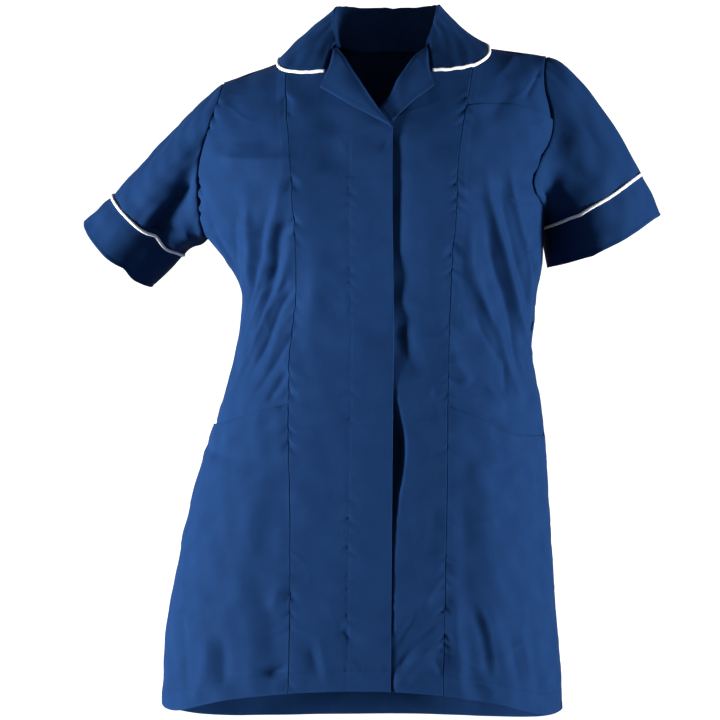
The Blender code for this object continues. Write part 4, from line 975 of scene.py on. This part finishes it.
for side in (-1, 1):
    side_name = name_of(side)
    edges = [panel_seam(side, -side), front_edge(side)]
    first, last = edges if side < 0 else edges[::-1]
    shares = shares_for(0.112, FINE_STEP)
    hem = hem_level(first, last, shares)
    level = rows_through(hem, np.full_like(shares, BREAK_LEVEL), np.full_like(shares, RISE), step=FINE_STEP)
    angle, smooth, (from_first, from_last, from_hem, from_top) = panel_grid(first, last, level, shares)
    from_panel_seam, from_fly = (from_first, from_last) if side < 0 else (from_last, from_first)
    relief = 0.00130 * pucker(from_panel_seam, smooth[..., 2], 31 + side, 0.007)
    relief = relief + rounded(np.minimum.reduce([from_first, from_last, from_hem, from_top]))
    relief = relief + hem_relief(from_hem) + 0.00030 * pucker(from_hem - HEM_WIDTH, smooth[..., 0], 53 + side)
    if side < 0:
        below = ease((BREAK_LEVEL - level) / 0.01)
        relief = relief + below * (0.0004 * ease((FLY_STITCH + 0.001 - from_fly) / 0.0014)
                                   - 0.0007 * bell(from_fly - FLY_STITCH, 0.0011)
                                   + 0.00110 * pucker(from_fly - FLY_STITCH, smooth[..., 2], 55, 0.007)
                                   + 0.00025 * pucker(from_fly, smooth[..., 2], 56, 0.010))
    else:
        hollow = LAYER + 0.0005 + blend(FLY_HOLLOW, 1, smooth[..., 2])
        relief = relief - hollow * ease((blend(FLY_HOLLOW, 2, smooth[..., 2]) - smooth[..., 0])
                                       / (0.012 + 0.014 * ease((smooth[..., 2] + 0.40) / 0.05)))
    points, out = front_cloth(angle, level, relief)
    wear = 0.1 * bell(from_fly, 0.0012) + 0.3 * bell(from_hem, 0.002)
    panel = placed(shell("front_" + side_name + "_panel", points, out, NAVY, wear),
                   "navy_cloth", "front_" + side_name)
    lines = [line_beside(points, out, HEM_WIDTH - STITCH_INSET, 0)]
    if side < 0:
        stop = int(np.argmin(np.abs(level[:, -1] - BREAK_LEVEL))) / (len(level) - 1)
        lines.append(line_beside(points, out, FLY_STITCH, 1, True, (0.0, stop)))
    front_stitching = stitching("front_" + side_name + "_stitching", lines)


# The lapels: the tops of the fronts, doubled with their facing and turned back along the break.
# They lie on the fronts and end in a blunt point under the collar.

# along, x from the centre, height of a lapel's free edge from the break up to the collar
LAPEL = {
    "right": ((0.00, 0.0190, -0.1055), (0.20, -0.0080, -0.0900), (0.38, -0.0270, -0.0800),
              (0.66, -0.0605, -0.0605), (0.84, -0.0512, -0.0370), (1.00, -0.0490, -0.0150)),
    "left": ((0.00, 0.0195, -0.0985), (0.20, 0.0300, -0.0875), (0.38, 0.0410, -0.0765),
             (0.66, 0.0612, -0.0605), (0.84, 0.0533, -0.0385), (1.00, 0.0490, -0.0180)),
}
LAPEL_BREAK = {"right": (0.0300, 0.1280), "left": (0.0415, 0.1280)}
LAPEL_RISE = (0.0022, 0.0024, 0.0046)
LAPEL_END = 0.95
LAPEL_STITCH = 0.0055

for side in (-1, 1):
    side_name = name_of(side)
    rows = np.array(LAPEL[side_name])
    along = np.unique(np.concatenate([LAPEL_END * shares_for(0.115, 0.0026), rows[1:-1, 0]]))
    across = shares_for(0.035, 0.0024, False, True)[None, :]
    low, high = LAPEL_BREAK[side_name]
    break_level = low + (high - low) * along
    break_x = -side * neck_edge(side, break_level)
    break_height = form(angle_at(break_x, break_level), break_level)[..., 2]
    edge_x, edge_height = (np.interp(along, rows[:, 0], rows[:, k]) for k in (1, 2))
    x = break_x[:, None] + (edge_x - break_x)[:, None] * across
    height = break_height[:, None] + (edge_height - break_height)[:, None] * across
    level = level_at(x, height)
    angle = angle_at(x, level)
    at_break, mid_way, at_edge = LAPEL_RISE
    raised = at_break + (at_edge - at_break) * across + mid_way * np.sin(np.pi * across)
    if side > 0:
        raised = raised * (0.25 + 0.75 * ease(along / 0.25))[:, None]
    smooth = form(angle, level)
    from_break, from_edge = distance_in(smooth, 1), distance_in(smooth, 1, True)
    from_low = distance_in(smooth, 0)
    raised = raised - (at_break + 0.0008) * (1 - ease(from_break / 0.0035)) ** 2
    raised = raised + rounded(np.minimum(from_edge, from_low))
    raised = raised - 0.00015 * bell(from_edge - LAPEL_STITCH, 0.0011)
    points, out = front_cloth(angle, level, raised)
    wear = 0.08 * bell(from_edge, 0.0012) + 0.15 * bell(from_break, 0.004)
    lapel = placed(shell("lapel_" + side_name + "_revers", points, out, NAVY, wear),
                   "navy_cloth", "lapel_" + side_name)
    lapel_stitching = stitching("lapel_" + side_name + "_stitching",
                                [line_beside(points, out, LAPEL_STITCH, 1, True)])


# The sleeves: short and set in, each one piece of the same cloth closed under the arm, ended by a
# turned band with a white piping in its seam. They keep their worn pose.

# Sleeve ends: outer end of the opening's width, underarm end, half depth, how far it is set back
SLEEVES = {
    "right": {
        "seam": ((-0.3080, -0.1650), (-0.2320, -0.2315), 0.0600, 0.0170),
        "hem": ((-0.3430, -0.1950), (-0.2710, -0.2680), 0.0610, 0.0250),
        "axis": (-0.66, 0.20, -0.72),
        "cap": (-0.80, 0.0, -0.60),
    },
    "left": {
        "seam": ((0.2780, -0.1470), (0.1670, -0.2040), 0.0560, 0.0040),
        "hem": ((0.2985, -0.1920), (0.1750, -0.2480), 0.0570, 0.0120),
        "axis": (0.42, 0.16, -0.89),
        "cap": (0.97, 0.0, -0.22),
    },
}
# How far the front of each sleeve's end hangs lower than its sides, and how deep its underarm tucks in
END_DIP = {"right": 0.004, "left": 0.010}
TUCK = {"right": 0.010, "left": 0.038}
CAP_TIGHTNESS = 0.38
SLEEVE_RADIUS = 0.07
SLEEVE_ROUND = 0.42
CUFF_ROUND = 0.40
ARMHOLE_ALLOWANCE = 0.0070
CUFF_ALLOWANCE = 0.0060
CUFF_STAND = 0.0012
CUFF_STITCH = 0.004
PIPING_RADIUS = 0.0018
# degrees round the sleeve from the underarm by the front: at the armhole, at the cuff,
# start and end along the sleeve, half width, depth, crispness
SLEEVE_FOLDS = {
    "right": (
        (76, 62, 0.02, 1.10, 10, -0.0120, 1.6),
        (100, 108, 0.10, 0.90, 16, 0.0045, 1.9),
        (35, 40, 0.20, 1.10, 12, 0.0060, 1.9),
        (235, 250, 0.15, 1.05, 16, -0.0065, 1.7),
        (290, 282, 0.20, 1.10, 14, 0.0050, 1.9),
        (160, 150, 0.25, 0.95, 14, -0.0030, 1.8),
        (118, 126, 0.05, 0.45, 6, -0.0016, 1.5),
        (18, 14, 0.05, 0.70, 8, -0.0030, 1.5),
        (82, 86, 0.55, 1.05, 6, 0.0016, 1.6),
        (205, 200, 0.10, 0.80, 10, -0.0022, 1.6),
        (320, 326, 0.10, 0.90, 10, -0.0030, 1.6),
    ),
    "left": (
        (74, 76, 0.30, 1.15, 7, 0.0030, 1.3),
        (98, 106, 0.10, 1.05, 15, 0.0040, 1.9),
        (132, 128, 0.10, 0.90, 12, -0.0024, 1.6),
        (158, 132, -0.05, 0.36, 7, -0.0036, 1.4),
        (170, 146, 0.00, 0.42, 8, 0.0024, 1.7),
        (245, 255, 0.15, 1.05, 16, -0.0065, 1.7),
        (300, 290, 0.20, 1.10, 14, 0.0050, 1.9),
        (200, 205, 0.10, 0.80, 10, -0.0022, 1.6),
        (330, 336, 0.10, 0.90, 10, -0.0030, 1.6),
    ),
}


def armhole_ring(side):
    """Points of the armhole seam: up the front from the underarm to the tip, then down the back."""
    rows = np.linspace(UNDERARM[name_of(side)], RISE, 76)
    front_angle = side_edge(side, False)(rows)
    front_angle[0] = 0.0 if side > 0 else -180.0
    back_angle = side_edge(side, True)(rows)
    smooth = form(front_angle, rows)
    ahead = smooth + form_out(front_angle, rows) * front_relief(front_angle, rows, smooth)[:, None]
    smooth = form(back_angle, rows)
    behind = smooth + form_out(back_angle, rows) * back_depth(back_angle, smooth)[:, None]
    return np.concatenate([ahead, behind[-2:0:-1]]), len(rows)


def end_ring(end, angles):
    """Points of the oval at a sleeve's end; angle 0 is the underarm, 90 degrees the front."""
    (outer_x, outer_z), (under_x, under_z), depth, back = end
    high = ((1 - np.cos(angles)) / 2)[:, None]
    outer, under = np.array([outer_x, back, outer_z]), np.array([under_x, back, under_z])
    return under + (outer - under) * high + np.sin(angles)[:, None] * np.array([0.0, -depth, 0.0])


def sleeve_relief(side_name, along, angles):
    """Depth of the sleeve's folds; they grow out of the armhole and run into the cuff."""
    degrees = np.degrees(angles)[None, :]
    t = np.asarray(along)[:, None]
    total = np.zeros(np.broadcast(degrees, t).shape)
    for start, end, first, last, half, depth, crispness in SLEEVE_FOLDS[side_name]:
        middle = start + (end - start) * t
        aside = (degrees - middle + 180.0) % 360.0 - 180.0
        across = np.exp(-np.abs(aside / half) ** crispness)
        total += depth * across * ease((t - first) / 0.3) * ease((last - t) / 0.25)
    return total


def tuck(side_name, angles):
    """The front of the underarm lies back beside the chest; a flat push towards the back."""
    degrees = (np.degrees(angles) + 180.0) % 360.0 - 180.0
    across = np.exp(-np.abs((degrees - 24.0) / 45.0) ** 3.2)
    return (TUCK[side_name] * across)[:, None] * np.array([0.0, 1.0, 0.0])


def ring_out(points):
    """Outward directions of a tube of rings."""
    round_way = np.roll(points, -1, axis=1) - np.roll(points, 1, axis=1)
    out = unit(np.cross(np.gradient(points, axis=0), round_way))
    away = points - points.mean(axis=1, keepdims=True)
    return out * np.sign((away * out).sum(axis=-1).mean())


# White cotton piping: a bias strip folded over a cord, 3.6 mm thick in all, with a fine plain weave.
PIPING_SIDES = 14
BIAS_THREAD = 0.0008


def white_piping():
    made, tree, shader = new_material("white_cotton_bias_piping")
    place = add_node(tree, "ShaderNodeTexCoord").outputs["UV"]
    parts = add_node(tree, "ShaderNodeSeparateXYZ", [(0, place)])
    slant = add_node(tree, "ShaderNodeMath", [(0, parts.outputs["X"]), (1, parts.outputs["Y"])],
                     operation="ADD")
    run = add_node(tree, "ShaderNodeMath", [(0, slant.outputs[0]), (1, 2 * math.pi / BIAS_THREAD)],
                   operation="MULTIPLY")
    weave = add_node(tree, "ShaderNodeMath", [(0, run.outputs[0])], operation="SINE")
    soil = add_node(tree, "ShaderNodeTexNoise", [("Vector", place), ("Scale", 90.0), ("Detail", 3.0)])
    tone = add_node(tree, "ShaderNodeMix",
                    [(0, soil.outputs[0]), (6, to_linear("#e6e9ee")), (7, to_linear("#f6f7f9"))],
                    data_type="RGBA")
    tree.links.new(tone.outputs[2], shader.inputs["Base Color"])
    bump = add_node(tree, "ShaderNodeBump",
                    [("Height", weave.outputs[0]), ("Strength", 0.4), ("Distance", 0.00008)])
    tree.links.new(bump.outputs[0], shader.inputs["Normal"])
    shader.inputs["Roughness"].default_value = 0.7
    shader.inputs["Sheen Weight"].default_value = 0.15
    return made


WHITE = white_piping()


def cord_of_piping(name, line, closed, node):
    """A round cord along the line, with closed ends where it isn't a ring."""
    ahead = np.roll(line, -1, axis=0) - np.roll(line, 1, axis=0) if closed else np.gradient(line, axis=0)
    ahead = unit(ahead)
    aside = unit(np.cross(ahead, np.array([0.13, -0.98, 0.11])))
    up = np.cross(aside, ahead)
    turn = np.linspace(0, 2 * math.pi, PIPING_SIDES, endpoint=False)
    run = distance_in(line[None], 1)[0]
    thick = PIPING_RADIUS * (1 + 0.03 * rumple(run, 0 * run, 71, 0.012, 8))
    around = aside[:, None] * np.cos(turn)[None, :, None] + up[:, None] * np.sin(turn)[None, :, None]
    spots = (line[:, None] + around * thick[:, None, None]).reshape(-1, 3)
    count = len(line)
    faces, plan = [], []
    for r in range(count if closed else count - 1):
        for s in range(PIPING_SIDES):
            e = (s + 1) % PIPING_SIDES
            a, b = r * PIPING_SIDES + s, r * PIPING_SIDES + e
            c, d = (r + 1) % count * PIPING_SIDES + e, (r + 1) % count * PIPING_SIDES + s
            faces.append((a, b, c, d))
            low, high = run[r], run[r] + 0.003 if r + 1 == count else run[r + 1]
            wide = 2 * PIPING_RADIUS * math.pi / PIPING_SIDES
            plan += [(low, s * wide), (low, (s + 1) * wide), (high, (s + 1) * wide), (high, s * wide)]
    if not closed:
        last = (count - 1) * PIPING_SIDES
        faces.append(tuple(range(PIPING_SIDES - 1, -1, -1)))
        faces.append(tuple(range(last, last + PIPING_SIDES)))
        plan += [(0.0, 0.0)] * (2 * PIPING_SIDES)
    made = made_of(name, spots.tolist(), faces, WHITE, np.array(plan).ravel())
    return placed(made, "white_piping", node)


for side in (-1, 1):
    side_name = name_of(side)
    facts = SLEEVES[side_name]
    ring, tip = armhole_ring(side)
    steps = np.linalg.norm(np.diff(np.vstack([ring, ring[:1]]), axis=0), axis=1)
    run = np.concatenate([[0.0], np.cumsum(steps)[:-1]])
    ahead = run[:tip] / run[tip - 1] * math.pi
    behind = math.pi + (run[tip:] - run[tip - 1]) / (steps.sum() - run[tip - 1]) * math.pi
    angles = np.concatenate([ahead, behind])
    along = shares_for(0.125 if side < 0 else 0.115, 0.0026)
    axis, cap = unit(facts["axis"]), unit(facts["cap"])
    dip = axis * END_DIP[side_name] * np.maximum(np.sin(angles), 0.0)[:, None] ** 2
    end = end_ring(facts["seam"], angles) + dip
    length = np.linalg.norm(end - ring, axis=1)[:, None]
    high = ((1 - np.cos(angles)) / 2)[:, None]
    start = unit(axis * (1 - high) + cap * high) * (1 - CAP_TIGHTNESS * high)
    t = along[:, None, None]
    points = ((1 + 2 * t) * (1 - t) ** 2 * ring + t * (1 - t) ** 2 * length * start
              + t * t * (3 - 2 * t) * end + t * t * (t - 1) * length * axis)
    points = points + tuck(side_name, angles) * ease(t / 0.45)
    out = ring_out(points)
    from_armhole, from_cuff = distance_in(points, 0), distance_in(points, 0, True)
    round_it = (run / run.max() * SLEEVE_ROUND)[None, :] + 0 * from_armhole
    depth = sleeve_relief(side_name, along, angles)
    in_plan = SLEEVE_RADIUS * np.cos(angles)[None, :] + 0 * round_it
    depth += 0.00045 * rumple(in_plan, SLEEVE_RADIUS * np.sin(angles)[None, :] + from_cuff, 61 + side, 0.032)
    depth += 0.00050 * pucker(from_armhole, round_it, 63 + side, 0.009)
    depth += 0.00040 * pucker(from_cuff, round_it, 65 + side, 0.006)
    depth += rounded(from_cuff) + rounded(from_armhole, 0.0032)
    points = points + out * depth[..., None]
    under = points[:1] - start[None] * ARMHOLE_ALLOWANCE - out[:1] * 0.0030
    points = np.concatenate([under, points])
    out = ring_out(points)
    sleeve = placed(shell("sleeve_" + side_name + "_tube", points, out, NAVY, None, True),
                    "navy_cloth", "sleeve_" + side_name)

    end = end + tuck(side_name, angles)
    fold = sleeve_relief(side_name, [1.0], angles)[0][:, None]
    seam = end + out[-1] * fold + axis * 0.0004
    hem = end_ring(facts["hem"], angles) + dip * 1.2 + tuck(side_name, angles) * 0.8
    share = shares_for(0.047, 0.0026)[:, None, None]
    band = seam + (hem + out[-1] * fold * 0.8 - seam) * share
    outward = ring_out(band)
    from_seam, from_end = distance_in(band, 0), distance_in(band, 0, True)
    round_it = (run / run.max() * CUFF_ROUND)[None, :] + 0 * from_seam
    relief = CUFF_STAND * ease(share[..., 0] * 3) + rounded(np.minimum(from_seam, from_end))
    relief = relief + 0.00030 * rumple(round_it, from_seam, 67 + side, 0.030)
    relief = relief + 0.00035 * pucker(from_seam, round_it, 69 + side, 0.007)
    relief = relief - 0.0004 * bell(from_end - CUFF_STITCH, 0.0011)
    band = band + outward * relief[..., None]
    under = band[:1] - axis * CUFF_ALLOWANCE - outward[:1] * 0.0016
    band = np.concatenate([under, band])
    outward = ring_out(band)
    wear = bell(np.concatenate([from_end[:1], from_end]), 0.0016)
    cuff = placed(shell("cuff_" + side_name + "_band", band, outward, NAVY, wear, True, 0.0016),
                  "navy_cloth", "cuff_" + side_name)
    cord = end + out[-1] * (fold + PIPING_RADIUS * 0.75) + axis * 0.0002
    piping = cord_of_piping("cuff_piping_" + side_name + "_cord", cord, True, "cuff_piping_" + side_name)
    stitched = line_beside(band, outward, CUFF_STITCH, 0, True)
    cuff_stitching = stitching("cuff_" + side_name + "_stitching", [stitched])


# The collar: one piece of doubled cloth, a low stand that rises from the neckline and a leaf that
# falls over it to two blunt points, with the same white piping all round its free edge.

# roll x, y and height, outer edge x on the right, on the left, and y, from the front end to the back
COLLAR = (
    (0.0496, -0.0490, -0.0040, 0.0570, 0.0575, -0.0800),
    (0.0512, -0.0445, 0.0010, 0.0710, 0.0715, -0.0770),
    (0.0532, -0.0385, 0.0080, 0.0890, 0.0900, -0.0690),
    (0.0552, -0.0310, 0.0160, 0.1045, 0.1055, -0.0570),
    (0.0566, -0.0220, 0.0245, 0.1130, 0.1135, -0.0400),
    (0.0574, -0.0115, 0.0325, 0.1155, 0.1115, -0.0200),
    (0.0574, 0.0010, 0.0385, 0.1140, 0.1040, 0.0030),
    (0.0558, 0.0150, 0.0415, 0.1080, 0.0985, 0.0260),
    (0.0512, 0.0305, 0.0430, 0.0970, 0.0900, 0.0460),
    (0.0445, 0.0430, 0.0438, 0.0810, 0.0765, 0.0615),
    (0.0345, 0.0535, 0.0442, 0.0610, 0.0580, 0.0715),
    (0.0185, 0.0620, 0.0445, 0.0330, 0.0310, 0.0780),
    (0.0000, 0.0650, 0.0445, 0.0000, 0.0000, 0.0800),
)
COLLAR_BELLY = {"right": 0.0015, "left": -0.0015}
STAND_LEVELS = (0.137, 0.146, 0.155, 0.165, 0.175, 0.183)
STAND_ANGLES = (9.0, 22.0, 37.0, 50.0, 62.0, 76.0, 90.0)
STAND_SETBACK = 0.0046
COLLAR_CLEARANCE = 0.0052
COLLAR_STITCH = 0.0050
ROLL_AT = 0.030


def on_body(x, y, clearance):
    """A point this far off the body over a place in plan, and the body's outward direction there."""
    back = y > 0
    level = level_at(x, height_over(x, y), back=back)
    angle = angle_at(x, level, back=back)
    out = form_out(angle, level)
    return form(angle, level) + out * clearance, out


def stand_points():
    """The collar's neckline, front end to centre back, just inside the body's neckline."""
    front_levels = np.array(STAND_LEVELS)
    x = -neck_edge(1, front_levels)
    front = form(angle_at(x, front_levels), front_levels)
    front[..., 1] -= break_lift(front, front_levels)
    turn = np.radians(STAND_ANGLES)
    x, y = NECK_HALF * np.cos(turn), NECK_BACK * np.sin(turn)
    back = np.stack([x, y, height_over(x, y)], axis=-1)
    points = np.concatenate([front, back])
    inward = -unit(points * (1.0, 1.0, 0.0))
    return points + inward * STAND_SETBACK + np.array([0.0, 0.0, -0.0015])


def collar_section(stand, roll, edge, out, bow):
    """Points across the collar at one station: up the stand, over the roll and down the leaf."""
    rise = np.linalg.norm(roll - stand)
    radius = min(0.0032, 0.35 * rise)
    up = np.array([0.0, 0.0, 1.0])
    crest = roll + up * 0.0008
    before = roll - out * radius * 0.8 - up * radius
    after = roll + out * radius - up * radius * 0.7
    middle = stand + (before - stand) * 0.5 - out * 0.001
    leaf = edge - after
    belly = unit(out * 0.7 + up) * bow
    return [stand, middle, before, crest, after,
            after + leaf * 0.33 + belly, after + leaf * 0.67 + belly, edge]


def finer(points, axis, count):
    """The grid with its rows or columns drawn on smooth curves, this many in all."""
    points = np.moveaxis(points, axis, 0)
    made = smooth_line(points.reshape(len(points), -1), count)
    return np.moveaxis(made.reshape((count,) + points.shape[1:]), 0, axis)


sections, edge_out = [], []
for side in (-1, 1):
    flip = np.array([side, 1.0, 1.0])
    half, half_out = [], []
    for row, foot in zip(COLLAR, stand_points()):
        roll = np.array(row[:3]) * flip
        edge, away = on_body(row[3 if side < 0 else 4] * side, row[5], COLLAR_CLEARANCE)
        aside = unit(np.array([roll[0], roll[1], 0.0]))
        half.append(collar_section(foot * flip, roll, edge, aside, COLLAR_BELLY[name_of(side)]))
        half_out.append(away)
    sections.append(half)
    edge_out.append(half_out)
points = np.array(sections[0] + sections[1][-2::-1])
edge_out = np.array(edge_out[0] + edge_out[1][-2::-1])
points = finer(finer(points, 0, 190), 1, 46)
edge_out = finer(edge_out, 0, 190)
out = unit(np.cross(np.gradient(points, axis=0), np.gradient(points, axis=1)))
out = out * np.sign(out[:, -2, 2].mean())
from_stand, from_edge, from_first, from_last = edge_distances(points)
round_it = from_first[:, -1:] + 0 * from_first
depth = 0.00035 * rumple(round_it, from_stand, 81, 0.035)
depth += 0.00035 * pucker(from_edge, round_it, 82, 0.007)
depth -= 0.0004 * bell(from_edge - COLLAR_STITCH, 0.0011)
depth += rounded(np.minimum.reduce([from_edge, from_first, from_last]))
points = points + out * depth[..., None]
wear = bell(from_stand - ROLL_AT, 0.006) * 0.25
collar = placed(shell("collar_leaf_and_stand", points, out, NAVY, wear), "navy_cloth", "collar")
edge = points[:, -1]
away = unit(edge - points[:, -3])
away = unit(away - edge_out * (away * edge_out).sum(axis=-1, keepdims=True))
cord = edge - edge_out * 0.0006 + away * (PIPING_RADIUS * 0.75)
collar_piping = cord_of_piping("collar_piping_cord", cord, False, "collar_piping")
collar_stitching = stitching("collar_stitching", [line_beside(points, out, COLLAR_STITCH, 1, True)])


# The room: a pale round studio floor that curves up into a wall, soft light, and the camera.

# radius, height of the bowl of paper that the studio stands in
BOWL = ((0.0, -1.15), (3.0, -1.15), (5.2, -1.10), (6.4, -0.75), (7.2, 0.1), (7.5, 1.4), (7.5, 4.5))
# Centre of the paper's painted glow, behind the tunic
PAINTED_GLOW_CENTRE = (-0.85, 6.0, -0.6)


def studio_paper():
    """Matt white seamless paper that glows with painted light, full in a wide patch behind the tunic and faint
    elsewhere.
    """
    made, tree, shader = new_material("white_seamless_paper")
    place = add_node(tree, "ShaderNodeTexCoord").outputs["Object"]
    grain = add_node(tree, "ShaderNodeTexNoise", [("Vector", place), ("Scale", 3.0), ("Detail", 2.0)])
    tone = add_node(tree, "ShaderNodeMix",
                    [(0, grain.outputs[0]), (6, to_linear("#cbcbca")), (7, to_linear("#cfcfcf"))],
                    data_type="RGBA")
    tree.links.new(tone.outputs[2], shader.inputs["Base Color"])
    shader.inputs["Roughness"].default_value = 0.9
    shader.inputs["Emission Color"].default_value = (1.0, 1.0, 1.0, 1.0)
    # Painted light: the paper's own emission, strength 1 within 2.8 m of the glow's centre, falling to 0.06 by
    # 4.6 m.
    away = add_node(tree, "ShaderNodeVectorMath", [(0, place), (1, PAINTED_GLOW_CENTRE)], operation="DISTANCE")
    painted_glow = add_node(tree, "ShaderNodeMapRange",
                   [("Value", away.outputs["Value"]), ("From Min", 2.8), ("From Max", 4.6),
                    ("To Min", 1.0), ("To Max", 0.06)], interpolation_type="SMOOTHSTEP")
    tree.links.new(painted_glow.outputs[0], shader.inputs["Emission Strength"])
    return made


profile = smooth_line(BOWL, 40)
turn = np.linspace(0, 2 * math.pi, 72, endpoint=False)
spots = np.stack([profile[:, None, 0] * np.cos(turn), profile[:, None, 0] * np.sin(turn),
                  profile[:, None, 1] + 0 * turn], axis=-1)
spots = spots[1:]  # the middle of the floor is one face
corner = np.arange(spots[..., 0].size).reshape(spots.shape[:2])
corner = np.concatenate([corner, corner[:, :1]], axis=1)
faces = np.stack([corner[:-1, :-1], corner[:-1, 1:], corner[1:, 1:], corner[1:, :-1]], axis=-1).reshape(-1, 4)
floor_faces = faces.tolist() + [corner[0, :-1].tolist()]
made_of("studio_floor", spots.reshape(-1, 3).tolist(), floor_faces, studio_paper())


GRID_SPREAD = 60.0


def soft_light(name, place, towards, size, watts, colour="#ffffff"):
    """A softbox with a grid that shines on a point."""
    lamp = bpy.data.lights.new(name, "AREA")
    lamp.shape = "RECTANGLE"
    lamp.size, lamp.size_y = size
    lamp.energy = watts
    lamp.spread = math.radians(GRID_SPREAD)
    lamp.color = to_linear(colour)[:3]
    made = bpy.data.objects.new(name, lamp)
    made.location = place
    made.rotation_mode = "QUATERNION"
    made.rotation_quaternion = (Vector(towards) - Vector(place)).to_track_quat("-Z", "Y")
    bpy.context.scene.collection.objects.link(made)


MIDDLE = (-0.02, 0.0, -0.38)
soft_light("key_softbox", (-2.88, -0.85, -0.74), MIDDLE, (0.6, 1.2), 39.0)
soft_light("side_softbox", (2.85, -0.92, -0.52), MIDDLE, (0.6, 1.2), 22.0)

world = bpy.data.worlds.new("studio_air")
world.use_nodes = True
world.node_tree.nodes["Background"].inputs["Color"].default_value = (1.0, 1.0, 1.0, 1.0)
world.node_tree.nodes["Background"].inputs["Strength"].default_value = 0.15
bpy.context.scene.world = world
bpy.context.scene.view_settings.view_transform = "Standard"

CAMERA_TURN = math.radians(7.0)
CAMERA_AWAY = 3.0
VIEW_HALF = 0.396
look = np.array([-math.sin(CAMERA_TURN), math.cos(CAMERA_TURN), 0.0])
aim = np.array([-0.0297 * math.cos(CAMERA_TURN), -0.0297 * math.sin(CAMERA_TURN), -0.35])
lens = bpy.data.cameras.new("camera")
lens.sensor_width = 36.0
lens.lens = 18.0 / (VIEW_HALF / CAMERA_AWAY)
camera = bpy.data.objects.new("camera", lens)
camera.location = aim - look * CAMERA_AWAY
camera.rotation_mode = "QUATERNION"
camera.rotation_quaternion = Vector(look).to_track_quat("-Z", "Y")
bpy.context.scene.collection.objects.link(camera)
bpy.context.scene.camera = camera
